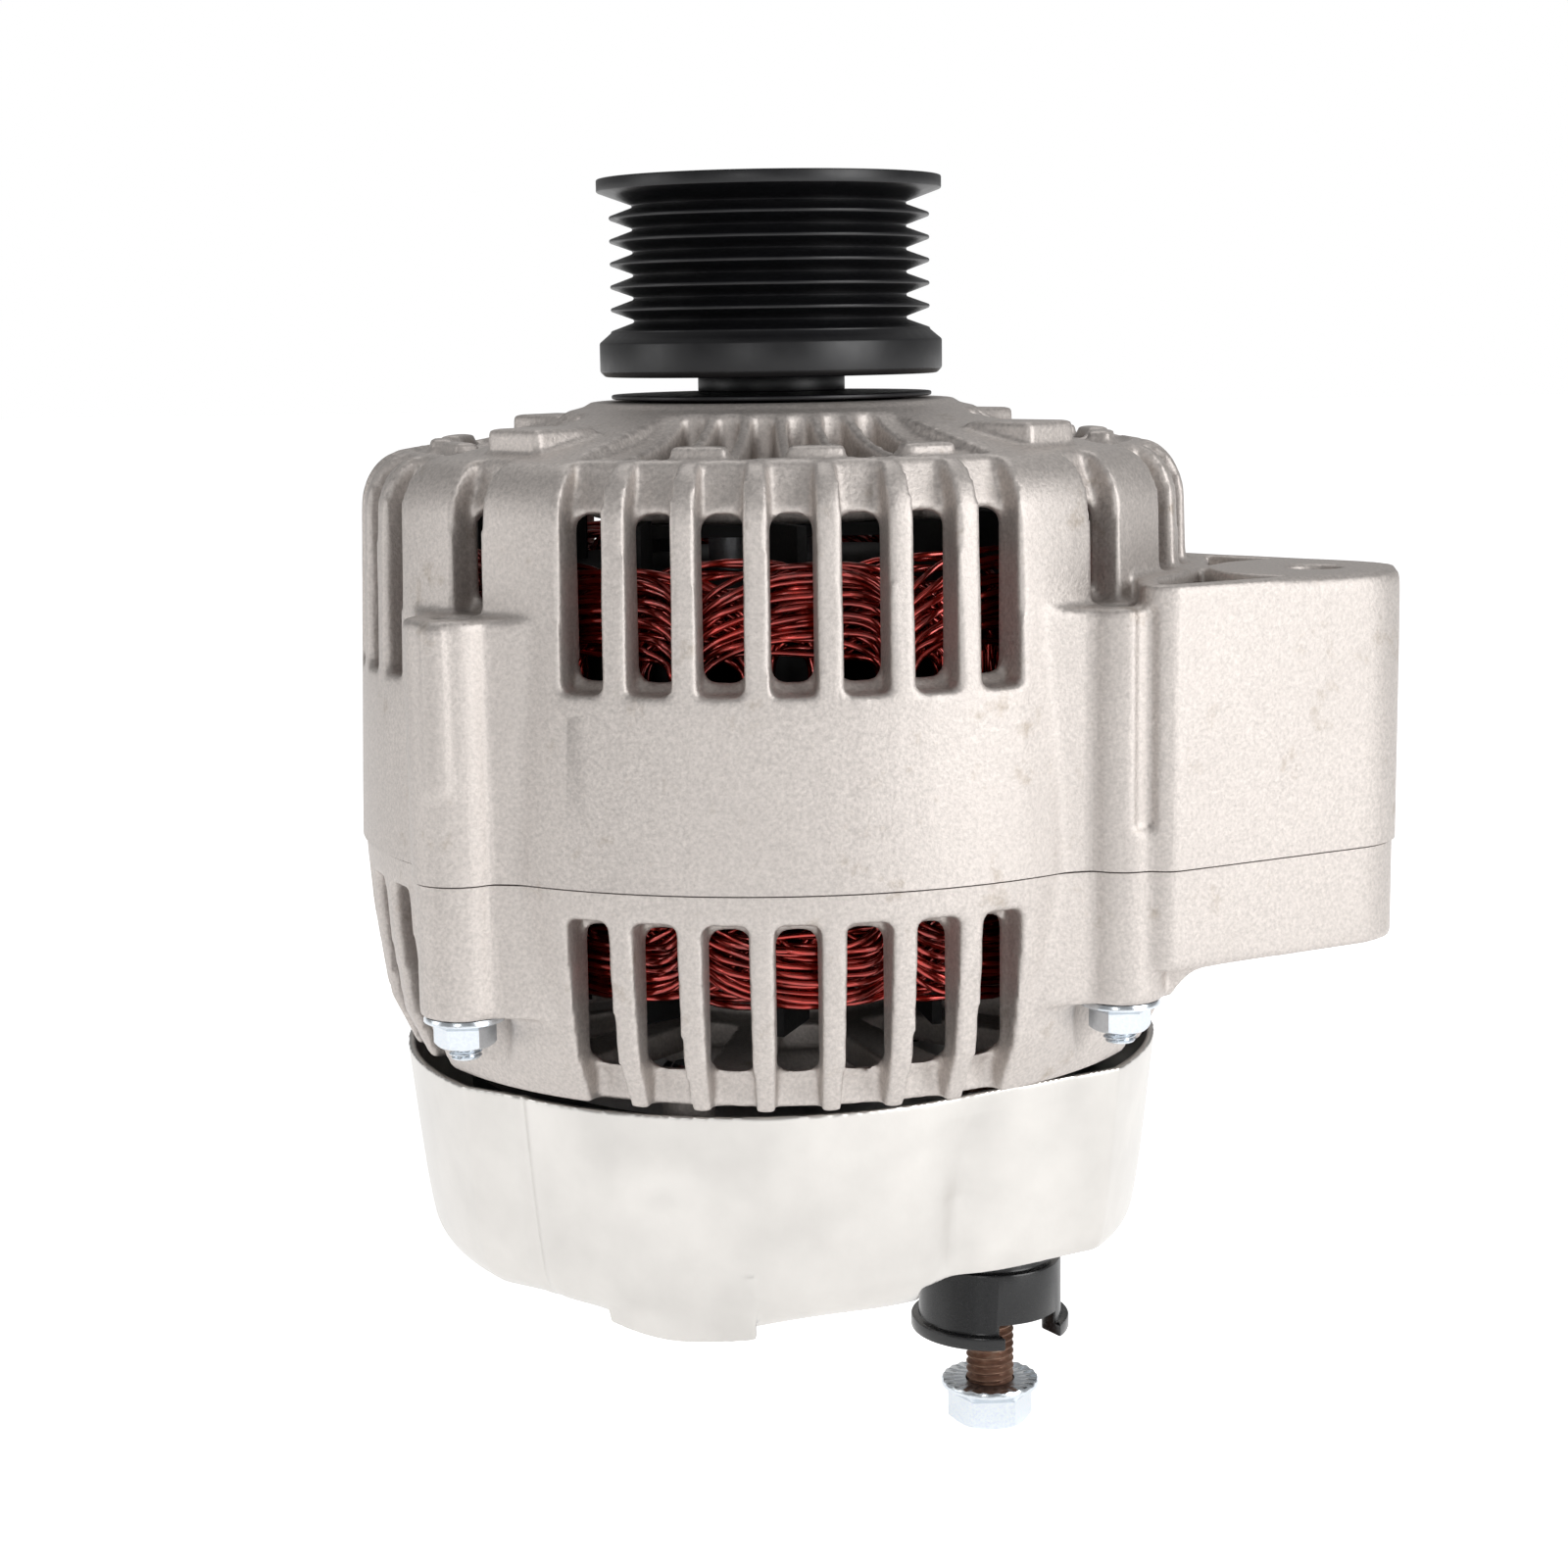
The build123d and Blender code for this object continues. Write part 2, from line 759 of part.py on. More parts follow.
# Rear end frame
ring_a_z = rear_bearing_back_z - slip_ring_lead - slip_ring_width
ring_b_z = ring_a_z - slip_ring_space - slip_ring_width
holder_top_z = ring_a_z + slip_ring_width + brush_holder_wall
inside_screw_places = [
    (-holder_ear_x, holder_ear_y),
    (holder_ear_x, holder_ear_y),
    (regulator_x, regulator_y),
]
rear_r = barrel_r - rear_step
hub_r = rear_bearing_d / 2 + rear_hub_wall
with BuildPart() as rear_end_frame:
    with BuildSketch(Plane.XZ):
        with BuildLine():
            Polyline(
                (0, parting_z),
                (rear_r, parting_z),
                (rear_r - rear_upper_inset, parting_z - rear_upper_share * rear_frame_length),
                (rear_r - rear_lower_inset, parting_z - rear_lower_share * rear_frame_length),
                (rear_r - rear_edge_inset, rear_floor_z),
                (0, rear_floor_z),
                close=True,
            )
        make_face()
    revolve(axis=Axis.Z)
    with Locations(*spin_places(side_angles)):
        add(
            groove_tool(
                (floor_r, rear_slot_top_z + 1),
                (floor_r + 1, rear_slot_top_z + groove_lip),
                (beyond, rear_slot_top_z + groove_lip),
                (beyond, rear_floor_z - 2),
                (floor_r - 4, rear_floor_z - 2),
                (floor_r - 4, rear_slot_bottom_z - groove_lip),
                (floor_r, rear_slot_bottom_z + 4),
            ),
            mode=Mode.SUBTRACT,
        )
        add(opening_tool(rear_slot_top_z, rear_slot_bottom_z), mode=Mode.SUBTRACT)
    with BuildSketch(Plane.XY.offset(parting_z)):
        add(boss_plan(rear_step))
    extrude(amount=-stud_boss_bottom)
    with BuildSketch(Plane.XY.offset(parting_z)):
        add(lug_plan(rear_step))
    extrude(amount=-lug_rear_length)
    with BuildSketch(Plane.XY.offset(rear_floor_z)):
        Circle(hub_r)
        with Locations(*spin_places(cover_stud_angles)):
            with Locations((cover_stud_circle_r, 0)):
                Circle(post_r)
    extrude(amount=-rear_hub_projection)
    with BuildSketch(Plane.XY.offset(rear_floor_z)):
        with Locations(*inside_screw_places):
            Circle(post_r)
    extrude(amount=holder_top_z - rear_floor_z)
    add(
        turned(
            (0, parting_z + 1),
            (core_d / 2 + seat_fit, parting_z + 1),
            (core_d / 2 + seat_fit, core_back_z),
            (cavity_r, core_back_z),
            (cavity_r, rear_inside_z + cavity_corner),
            (cavity_r - cavity_corner, rear_inside_z),
            (hub_r, rear_inside_z),
            (hub_r, rear_bearing_z + 0.5),
            (rear_bearing_d / 2 + seat_fit, rear_bearing_z + 0.5),
            (rear_bearing_d / 2 + seat_fit, rear_bearing_back_z),
            (rear_bearing_d / 2 - rear_seat_lip, rear_bearing_back_z),
            (rear_bearing_d / 2 - rear_seat_lip, rear_floor_z - rear_hub_projection - 1),
            (0, rear_floor_z - rear_hub_projection - 1),
        ),
        mode=Mode.SUBTRACT,
    )
    # Room for the stud nuts and their spanner
    with BuildSketch(Plane.XY.offset(stud_boss_bottom_z)):
        with Locations(*stud_places):
            Circle(stud_nut_flange_d / 2 + nut_room)
    extrude(amount=rear_floor_z - stud_boss_bottom_z - 1, mode=Mode.SUBTRACT)
    # Air windows in the floor
    with BuildSketch(Plane.XY.offset(rear_floor_z)):
        with Locations(*spin_places(rear_window_angles)):
            Polygon(
                (hub_r + rear_window_lead, rear_window_inner_half),
                (rear_window_outer_r, rear_window_outer_half),
                (rear_window_outer_r, -rear_window_outer_half),
                (hub_r + rear_window_lead, -rear_window_inner_half),
                align=None,
            )
    extrude(amount=rear_floor_thickness + 1, mode=Mode.SUBTRACT)
    with BuildSketch(Plane.XY.offset(holder_top_z)):
        with Locations(*inside_screw_places):
            Circle(screw_d / 2 + shaft_fit)
    extrude(amount=screw_length, mode=Mode.SUBTRACT)
    with BuildSketch(Plane.XY.offset(parting_z)):
        with Locations(*stud_places):
            Circle(stud_d / 2 + hole_clearance)
    extrude(amount=-stud_boss_bottom, mode=Mode.SUBTRACT)
    with BuildSketch(Plane.XY.offset(parting_z)):
        with Locations((lug_x, lug_y)):
            Circle(lug_hole_d / 2)
    extrude(amount=-lug_rear_length, mode=Mode.SUBTRACT)
    with BuildSketch(Plane.XY.offset(rear_floor_z - rear_hub_projection)):
        with Locations(*spin_places(cover_stud_angles)):
            with Locations((cover_stud_circle_r, 0)):
                Circle(stud_d / 2 + shaft_fit)
    extrude(amount=rear_hub_projection + rear_floor_thickness, mode=Mode.SUBTRACT)

# Bearing retainer and its screws
retainer_half = retainer_circle_r * math.cos(math.radians(45)) + retainer_boss_r
with BuildPart() as bearing_retainer:
    with BuildSketch(Plane.XY.offset(front_bearing_back_z)):
        RectangleRounded(2 * retainer_half, 2 * retainer_half, retainer_boss_r)
        Circle(front_bearing_d / 2 - retainer_overlap, mode=Mode.SUBTRACT)
        with PolarLocations(retainer_circle_r, 4, start_angle=45):
            Circle(screw_d / 2 + hole_clearance, mode=Mode.SUBTRACT)
    extrude(amount=-retainer_thickness)

with BuildPart() as retainer_screws:
    with BuildSketch(Plane.XY.offset(front_bearing_back_z - retainer_thickness)):
        with PolarLocations(retainer_circle_r, 4, start_angle=45):
            Circle(screw_d / 2)
    extrude(amount=retainer_thickness + screw_length - screw_end_gap)
    with BuildSketch(Plane.XY.offset(front_bearing_back_z - retainer_thickness)):
        with PolarLocations(retainer_circle_r, 4, start_angle=45):
            Circle(screw_head_d / 2)
    extrude(amount=-screw_head)

# Through studs and their flange nuts
stud_back_z = stud_boss_bottom_z - stud_nut_height - stud_end
with BuildPart() as through_studs:
    with BuildSketch(Plane.XY.offset(stud_back_z)):
        with Locations(*stud_places):
            Circle(stud_d / 2)
    extrude(amount=stud_boss_top_z - stud_recess - stud_back_z)

stud_nut_form = flange_nut(
    stud_nut_af, stud_nut_flange_d, stud_nut_height, stud_d + 2 * shaft_fit
)
with BuildPart() as stud_nuts:
    with Locations(*[(x, y, stud_boss_bottom_z) for x, y in stud_places]):
        add(stud_nut_form)

# Stator: slotted core and its winding with an overhang at each end
slot_turns = spin_places([360 / stator_slots * slot for slot in range(stator_slots)])
slot_inner_r = stator_bore_d / 2 - 1
with BuildPart() as stator_core:
    with BuildSketch(Plane.XY.offset(core_back_z)):
        Circle(core_d / 2)
        Circle(stator_bore_d / 2, mode=Mode.SUBTRACT)
        with Locations(*slot_turns):
            with Locations(((slot_inner_r + stator_slot_bottom_r) / 2, 0)):
                Rectangle(
                    stator_slot_bottom_r - slot_inner_r,
                    stator_slot_width,
                    mode=Mode.SUBTRACT,
                )
    extrude(amount=core_length)

front_winding_z = core_front_z + front_overhang
rear_winding_z = core_back_z - rear_overhang
winding_middle_r = (winding_inner_r + winding_outer_r) / 2
winding_half = (winding_outer_r - winding_inner_r) / 2


def overhang(foot_z, end_z):
    """End turns: a ring from the core face to a domed end."""
    crown = math.copysign(winding_crown, end_z - foot_z)
    return turned(
        (winding_inner_r, foot_z),
        (winding_inner_r, end_z - crown),
        (winding_middle_r - winding_half / 2, end_z),
        (winding_middle_r + winding_half / 2, end_z),
        (winding_outer_r, end_z - crown),
        (winding_outer_r, foot_z),
    )


with BuildPart() as stator_winding:
    add(overhang(core_front_z, front_winding_z))
    add(overhang(core_back_z, rear_winding_z))
    with BuildSketch(Plane.XY.offset(core_back_z)):
        with Locations(*slot_turns):
            with Locations((winding_middle_r, 0)):
                Rectangle(
                    winding_outer_r - winding_inner_r - 0.2,
                    stator_slot_width - 2 * slot_liner,
                )
    extrude(amount=core_length)

# Claw pole rotor
rotor_r = rotor_d / 2
pole_inner_z = pole_front_z - pole_plate
claw_tip_z = pole_back_z + claw_tip_gap
with BuildPart() as claw:
    with BuildSketch(Plane.XY.offset(pole_inner_z)):
        with Locations((rotor_r + 1 - claw_root_depth / 2, 0)):
            Rectangle(claw_root_depth, claw_root_width)
    with BuildSketch(Plane.XY.offset(claw_tip_z)):
        with Locations((rotor_r + 1 - claw_tip_depth / 2, 0)):
            Rectangle(claw_tip_depth, claw_tip_width)
    loft()
with BuildPart() as claw_pole_front:
    with BuildSketch(Plane.XY.offset(pole_inner_z)):
        Circle(rotor_r - claw_root_depth - 1)
        with Locations(*spin_places([360 / claws * n for n in range(claws)])):
            with Locations((rotor_r / 2 + 0.5, 0)):
                Rectangle(rotor_r + 1, claw_root_width)
    extrude(amount=pole_plate)
    with Locations(*spin_places([360 / claws * n for n in range(claws)])):
        add(claw.part)
    with BuildSketch(Plane.XY.offset(pole_back_z)):
        Circle(rotor_r)
    extrude(amount=pole_pack_length, mode=Mode.INTERSECT)
    with BuildSketch(Plane.XY.offset(pole_back_z)):
        Circle(shaft_shoulder_d / 2 + shaft_fit)
    extrude(amount=pole_pack_length, mode=Mode.SUBTRACT)
with BuildPart() as claw_pole_rear:
    add(
        claw_pole_front.part.mirror(Plane.XY.offset(core_middle_z)).rotate(
            Axis.Z, 180 / claws
        )
    )

core_gap_front_z = pole_inner_z
core_gap_back_z = pole_back_z + pole_plate
with BuildPart() as rotor_core:
    with BuildSketch(Plane.XY.offset(core_gap_back_z)):
        Circle(rotor_core_d / 2)
        Circle(shaft_shoulder_d / 2 + shaft_fit, mode=Mode.SUBTRACT)
    extrude(amount=core_gap_front_z - core_gap_back_z)

bobbin_r = rotor_core_d / 2 + shaft_fit
with BuildPart() as field_bobbin:
    add(
        turned(
            (bobbin_r, core_gap_back_z),
            (field_coil_d / 2, core_gap_back_z),
            (field_coil_d / 2, core_gap_back_z + bobbin_wall),
            (bobbin_r + bobbin_wall, core_gap_back_z + bobbin_wall),
            (bobbin_r + bobbin_wall, core_gap_front_z - bobbin_wall),
            (field_coil_d / 2, core_gap_front_z - bobbin_wall),
            (field_coil_d / 2, core_gap_front_z),
            (bobbin_r, core_gap_front_z),
        )
    )

with BuildPart() as field_coil:
    with BuildSketch(Plane.XY.offset(core_gap_back_z + bobbin_wall)):
        Circle(field_coil_d / 2)
        Circle(bobbin_r + bobbin_wall, mode=Mode.SUBTRACT)
    extrude(amount=core_gap_front_z - core_gap_back_z - 2 * bobbin_wall)


def fan(face_z, height, side):
    """Pressed fan: a disc on the pole face with blades bent up from its edge."""
    blade_length = math.hypot(fan_outer_r - fan_inner_r, 4)
    with BuildPart() as form:
        with BuildSketch(Plane.XY.offset(face_z)):
            Circle(fan_outer_r)
            Circle(shaft_shoulder_d / 2 + shaft_fit, mode=Mode.SUBTRACT)
        extrude(amount=side * fan_plate)
        with BuildSketch(Plane.XY.offset(face_z + side * fan_plate)):
            with PolarLocations((fan_outer_r + fan_inner_r) / 2 - 1, fan_blades):
                Rectangle(blade_length, blade_thickness, rotation=side * fan_lean)
        extrude(amount=side * (height - fan_plate))
    return form.part


with BuildPart() as front_fan:
    add(fan(pole_front_z, front_fan_height, 1))
with BuildPart() as rear_fan:
    add(fan(pole_back_z, rear_fan_height, -1))

# Slip rings on their insulating carrier
carrier_top_z = rear_bearing_back_z - 1
carrier_back_z = shaft_back_z + 0.5
with BuildPart() as slip_ring_carrier:
    with BuildSketch(Plane.XY.offset(carrier_back_z)):
        Circle(slip_ring_d / 2 - 0.3)
    extrude(amount=carrier_top_z - carrier_back_z)
    for ring_z in (ring_a_z, ring_b_z):
        with BuildSketch(Plane.XY.offset(ring_z)):
            Circle(slip_ring_d / 2 + 1)
            Circle(carrier_d / 2, mode=Mode.SUBTRACT)
        extrude(amount=slip_ring_width, mode=Mode.SUBTRACT)
    with BuildSketch(Plane.XY.offset(carrier_back_z)):
        Circle(ring_seat_d / 2 + shaft_fit)
    extrude(amount=carrier_top_z - carrier_back_z, mode=Mode.SUBTRACT)

brush_places = {"inner": ring_a_z, "outer": ring_b_z}
ring_r = slip_ring_d / 2
brush_face_r = ring_r + brush_gap
brush_back_r = brush_face_r + brush_length
spring_back_r = brush_back_r + spring_length
for name, ring_z in brush_places.items():
    middle_z = ring_z + slip_ring_width / 2
    with BuildPart() as slip_ring:
        with BuildSketch(Plane.XY.offset(ring_z)):
            Circle(ring_r)
            Circle(carrier_d / 2, mode=Mode.SUBTRACT)
        extrude(amount=slip_ring_width)
    pieces["slip_ring_" + name] = slip_ring
    # Carbon brush, hollowed to the ring, in the +Y direction
    with BuildPart() as brush:
        with BuildSketch(Plane.XY.offset(middle_z - brush_axial / 2)):
            with Locations((0, (brush_back_r + ring_r / 2) / 2)):
                Rectangle(brush_wide, brush_back_r - ring_r / 2)
            Circle(brush_face_r, mode=Mode.SUBTRACT)
        extrude(amount=brush_axial)
    pieces["brush_" + name] = brush
    # Its coil spring, from the brush to the holder's back wall
    with BuildPart() as brush_spring:
        with BuildLine() as spring_path:
            Helix(
                (spring_length - spring_wire) / spring_turns,
                spring_length - spring_wire,
                (spring_d - spring_wire) / 2,
                center=(0, brush_back_r + spring_wire / 2, middle_z),
                direction=(0, 1, 0),
            )
        with BuildSketch(Plane(spring_path.line @ 0, z_dir=spring_path.line % 0)):
            RegularPolygon(spring_wire / 2, 4)
        sweep(is_frenet=True)
    pieces["brush_spring_" + name] = brush_spring

# Brush holder: a moulded box with one guide for each brush
holder_back_r = spring_back_r + brush_holder_wall
holder_front_r = ring_r + 2.5
holder_half = brush_wide / 2 + brush_clearance + brush_holder_wall
ear_face_z = holder_top_z - holder_ear_thickness
holder_bottom_z = ring_b_z - brush_holder_wall
with BuildPart() as brush_holder:
    with BuildSketch(Plane.XY.offset(holder_bottom_z)):
        with Locations((0, (holder_back_r + holder_front_r) / 2)):
            Rectangle(2 * holder_half, holder_back_r - holder_front_r)
    extrude(amount=holder_top_z - holder_bottom_z)
    # Screw ears
    with BuildSketch(Plane.XY.offset(ear_face_z)):
        with Locations((0, holder_ear_y)):
            SlotCenterToCenter(2 * holder_ear_x, 2 * holder_ear_r)
    extrude(amount=holder_ear_thickness)
    for ring_z in (ring_a_z, ring_b_z):
        with BuildSketch(
            Plane.XY.offset(
                ring_z + slip_ring_width / 2 - brush_axial / 2 - brush_clearance
            )
        ):
            with Locations((0, spring_back_r / 2)):
                Rectangle(brush_wide + 2 * brush_clearance, spring_back_r)
        extrude(amount=brush_axial + 2 * brush_clearance, mode=Mode.SUBTRACT)
    with BuildSketch(Plane.XY.offset(holder_bottom_z)):
        with Locations((-holder_ear_x, holder_ear_y), (holder_ear_x, holder_ear_y)):
            Circle(screw_d / 2 + hole_clearance)
    extrude(amount=holder_top_z - holder_bottom_z, mode=Mode.SUBTRACT)

# Rear cover outline, where it meets the rear frame
cover_top_z = rear_floor_z - cover_gap
cover_bottom_z = cover_top_z - cover_height


def around(radius, angle):
    """A point at a radius and an angle about the shaft axis."""
    return (
        radius * math.cos(math.radians(angle)),
        radius * math.sin(math.radians(angle)),
    )


def cover_plan(inset):
    side_r = cover_side_r - inset
    front_r = cover_front_r - inset
    with BuildSketch() as plan:
        with BuildLine():
            ThreePointArc(
                around(side_r, right_angle), around(side_r, 90), around(side_r, notch_angle)
            )
            Line(
                around(side_r, notch_angle), around(front_r + crease_step, crease_angle)
            )
            ThreePointArc(
                around(front_r + crease_step, crease_angle),
                around(front_r, -98),
                around(front_r - dip_step, dip_angle),
            )
            Line(
                around(front_r - dip_step, dip_angle), around(side_r, right_angle)
            )
        make_face()
    return plan.sketch


def cover_form(inset, top_z, bottom_z, corner):
    """The pressed cup, as a solid, drawn in on every side by the inset."""
    with BuildPart() as form:
        with BuildSketch(Plane.XY.offset(top_z)):
            add(cover_plan(inset))
        extrude(amount=-(top_z - bottom_z), taper=cover_draft)
        fillet(form.faces().sort_by(Axis.Z)[0].edges(), corner)
    return form.part


def pocket_plan(radius):
    with BuildSketch() as plan:
        with Locations(*spin_places(cover_stud_angles)):
            with Locations((cover_stud_circle_r, 0)):
                Circle(radius)
    return plan.sketch


# Hollow of the cover, one sheet thickness inside its outer form
cover_floor_z = cover_bottom_z + cover_sheet
with BuildPart() as cover_hollow:
    add(cover_form(cover_sheet, cover_top_z, cover_floor_z, cover_corner - cover_sheet))
    with BuildSketch(Plane.XY.offset(cover_bottom_z)):
        with Locations((raise_x - cover_sheet, raise_y + cover_sheet)):
            Rectangle(60, 60, align=(Align.MIN, Align.MAX))
    extrude(amount=cover_raise + cover_sheet, mode=Mode.SUBTRACT)
    with BuildSketch(Plane.XY.offset(cover_bottom_z)):
        add(pocket_plan(cover_pocket_r + cover_sheet))
    extrude(amount=cover_pocket_depth + cover_sheet, mode=Mode.SUBTRACT)

regulator_top_z = holder_top_z
# Connector shell, seen from outside as a rectangle with rounded corners
socket_middle_z = regulator_top_z - socket_height / 2
socket_plane = Plane(
    origin=(regulator_x, regulator_y + regulator_deep / 2, socket_middle_z),
    x_dir=(-1, 0, 0),
    z_dir=(0, 1, 0),
)

with BuildPart() as rear_cover:
    add(cover_form(0, cover_top_z, cover_bottom_z, cover_corner))
    # Raised floor round the output terminal
    with BuildSketch(Plane.XY.offset(cover_bottom_z)):
        with Locations((raise_x, raise_y)):
            Rectangle(60, 60, align=(Align.MIN, Align.MAX))
    extrude(amount=cover_raise, mode=Mode.SUBTRACT)
    # Pockets for the nuts
    with BuildSketch(Plane.XY.offset(cover_bottom_z)):
        add(pocket_plan(cover_pocket_r))
    extrude(amount=cover_pocket_depth, mode=Mode.SUBTRACT)
    add(cover_hollow.part, mode=Mode.SUBTRACT)
    # Holes for the studs and the output terminal, and a notch for the connector
    with BuildSketch(Plane.XY.offset(cover_bottom_z)):
        with Locations(*spin_places(cover_stud_angles)):
            with Locations((cover_stud_circle_r, 0)):
                Circle(stud_d / 2 + hole_clearance)
        with Locations((terminal_x, terminal_y)):
            Circle(insulator_cup_d / 2 + hole_clearance)
    extrude(amount=cover_pocket_depth + 2 * cover_sheet, mode=Mode.SUBTRACT)
    with BuildSketch(socket_plane):
        with Locations((0, -socket_height / 2 - 1)):
            Rectangle(
                socket_width + 2,
                cover_top_z - socket_middle_z + socket_height,
                align=(Align.CENTER, Align.MIN),
            )
    extrude(amount=cover_side_r, mode=Mode.SUBTRACT)
    # Cooling slots in the floor, round the slip rings
    with BuildSketch(Plane.XY.offset(cover_bottom_z)):
        with Locations(*spin_places(vent_angles)):
            with Locations((vent_circle_r, 0)):
                SlotOverall(vent_length, vent_width)
    extrude(amount=2 * cover_sheet, mode=Mode.SUBTRACT)

# Cover studs stand on the frame's posts, and flange nuts hold the cover
post_end_z = rear_floor_z - rear_hub_projection
pocket_floor_z = cover_bottom_z + cover_pocket_depth
cover_stud_end_z = pocket_floor_z - stud_nut_height - 1
with BuildPart() as cover_studs:
    with BuildSketch(Plane.XY.offset(cover_stud_end_z)):
        with Locations(*spin_places(cover_stud_angles)):
            with Locations((cover_stud_circle_r, 0)):
                Circle(stud_d / 2)
    extrude(amount=rear_inside_z - 1 - cover_stud_end_z)
with BuildPart() as cover_nuts:
    with Locations(*spin_places(cover_stud_angles)):
        with Locations((cover_stud_circle_r, 0, pocket_floor_z)):
            add(stud_nut_form)

# Rectifier: insulating spacer, heat sink with pressed-in diodes, terminal block
spacer_top_z = post_end_z
sink_top_z = spacer_top_z - spacer_thickness
sink_back_z = sink_top_z - sink_thickness
block_top_z = sink_back_z - block_gap
block_back_z = block_top_z - block_thickness


def horseshoe(inner_r, outer_r):
    """The rectifier's plan, open towards the brushes."""
    with BuildSketch() as plan:
        Circle(outer_r)
        Circle(inner_r, mode=Mode.SUBTRACT)
        Polygon(
            (0, 0),
            around(3 * outer_r, sink_end_angle),
            around(3 * outer_r, 90),
            around(3 * outer_r, sink_start_angle),
            align=None,
            mode=Mode.SUBTRACT,
        )
    return plan.sketch


def stud_holes(radius):
    with BuildSketch() as plan:
        with Locations(*spin_places(cover_stud_angles)):
            with Locations((cover_stud_circle_r, 0)):
                Circle(radius)
    return plan.sketch


with BuildPart() as rectifier_spacer:
    with BuildSketch(Plane.XY.offset(sink_top_z)):
        add(horseshoe(sink_outer_r - 6, sink_outer_r))
        add(stud_holes(stud_d / 2 + hole_clearance), mode=Mode.SUBTRACT)
    extrude(amount=spacer_thickness)

with BuildPart() as rectifier_plate:
    with BuildSketch(Plane.XY.offset(sink_back_z)):
        add(horseshoe(sink_inner_r, sink_outer_r))
        add(stud_holes(stud_d / 2 + stud_insulation), mode=Mode.SUBTRACT)
        with Locations(*spin_places(diode_angles)):
            with Locations((diode_circle_r, 0)):
                Circle(diode_d / 2, mode=Mode.SUBTRACT)
        with Locations((terminal_x, terminal_y)):
            Circle(terminal_stud_d / 2 + shaft_fit, mode=Mode.SUBTRACT)
    extrude(amount=sink_thickness)

with BuildPart() as rectifier_diodes:
    with BuildSketch(Plane.XY.offset(sink_back_z - diode_stand)):
        with Locations(*spin_places(diode_angles)):
            with Locations((diode_circle_r, 0)):
                Circle(diode_d / 2)
    extrude(amount=diode_stand + sink_thickness)
    with BuildSketch(Plane.XY.offset(block_back_z)):
        with Locations(*spin_places(diode_angles)):
            with Locations((diode_circle_r, 0)):
                Circle(0.8)
    extrude(amount=sink_back_z - block_back_z)

with BuildPart() as rectifier_terminal_block:
    with BuildSketch(Plane.XY.offset(block_back_z)):
        add(horseshoe(sink_inner_r, sink_outer_r - 2))
        add(stud_holes(stud_d / 2 + hole_clearance), mode=Mode.SUBTRACT)
        with Locations(*spin_places(diode_angles)):
            with Locations((diode_circle_r, 0)):
                Circle(0.8, mode=Mode.SUBTRACT)
        with Locations((terminal_x, terminal_y)):
            Circle(insulator_cup_d / 2 + 1, mode=Mode.SUBTRACT)
    extrude(amount=block_thickness)

# Output terminal: stud, insulator and flange nut
terminal_nut_z = cover_bottom_z - insulator_end - terminal_thread
terminal_end_z = terminal_nut_z - terminal_nut_height
with BuildPart() as output_stud:
    with BuildSketch(Plane.XY.offset(terminal_end_z - 0.3)):
        with Locations((terminal_x, terminal_y)):
            Circle(terminal_stud_d / 2)
    extrude(amount=sink_top_z - terminal_end_z + 0.3)
    with BuildSketch(Plane.XY.offset(sink_top_z)):
        with Locations((terminal_x, terminal_y)):
            RegularPolygon(terminal_nut_af / 2, 6, major_radius=False)
    extrude(amount=spacer_thickness - 1)
with BuildPart() as output_nut:
    with Locations((terminal_x, terminal_y, terminal_nut_z)):
        add(
            flange_nut(
                terminal_nut_af,
                terminal_nut_flange_d,
                terminal_nut_height,
                terminal_stud_d + 2 * shaft_fit,
            )
        )
insulator_flange_z = cover_bottom_z - insulator_end
insulator_step_z = cover_bottom_z + cover_raise - insulator_step_drop
with BuildPart() as output_insulator:
    with BuildSketch(Plane.XY.offset(insulator_flange_z)):
        with Locations((terminal_x, terminal_y)):
            Circle(insulator_step_d / 2)
    extrude(amount=insulator_step_z - insulator_flange_z)
    with BuildSketch(Plane.XY.offset(insulator_step_z)):
        with Locations((terminal_x, terminal_y)):
            Circle(insulator_cup_d / 2)
    extrude(amount=sink_back_z - insulator_step_z)
    with BuildSketch(Plane.XY.offset(insulator_flange_z)):
        with Locations((terminal_x, terminal_y)):
            Circle(insulator_flange_d / 2)
    extrude(amount=insulator_flange_thickness)
    # Hollow of the cup, round the stud
    with BuildSketch(Plane.XY.offset(insulator_flange_z)):
        with Locations((terminal_x, terminal_y)):
            Circle(insulator_cup_d / 2 - insulator_wall)
    extrude(amount=insulator_hollow, mode=Mode.SUBTRACT)
    with BuildSketch(Plane.XY.offset(insulator_flange_z)):
        with Locations((terminal_x, terminal_y)):
            Circle(terminal_stud_d / 2 + shaft_fit)
    extrude(amount=sink_back_z - insulator_flange_z, mode=Mode.SUBTRACT)
    # Notch for the cable lug
    with BuildSketch(Plane.XY.offset(insulator_flange_z)):
        with Locations(
            Location((terminal_x, terminal_y, 0), (0, 0, insulator_notch_angle))
        ):
            Rectangle(
                insulator_flange_d,
                insulator_notch_width,
                align=(Align.MIN, Align.CENTER),
            )
    extrude(amount=insulator_notch_height, mode=Mode.SUBTRACT)

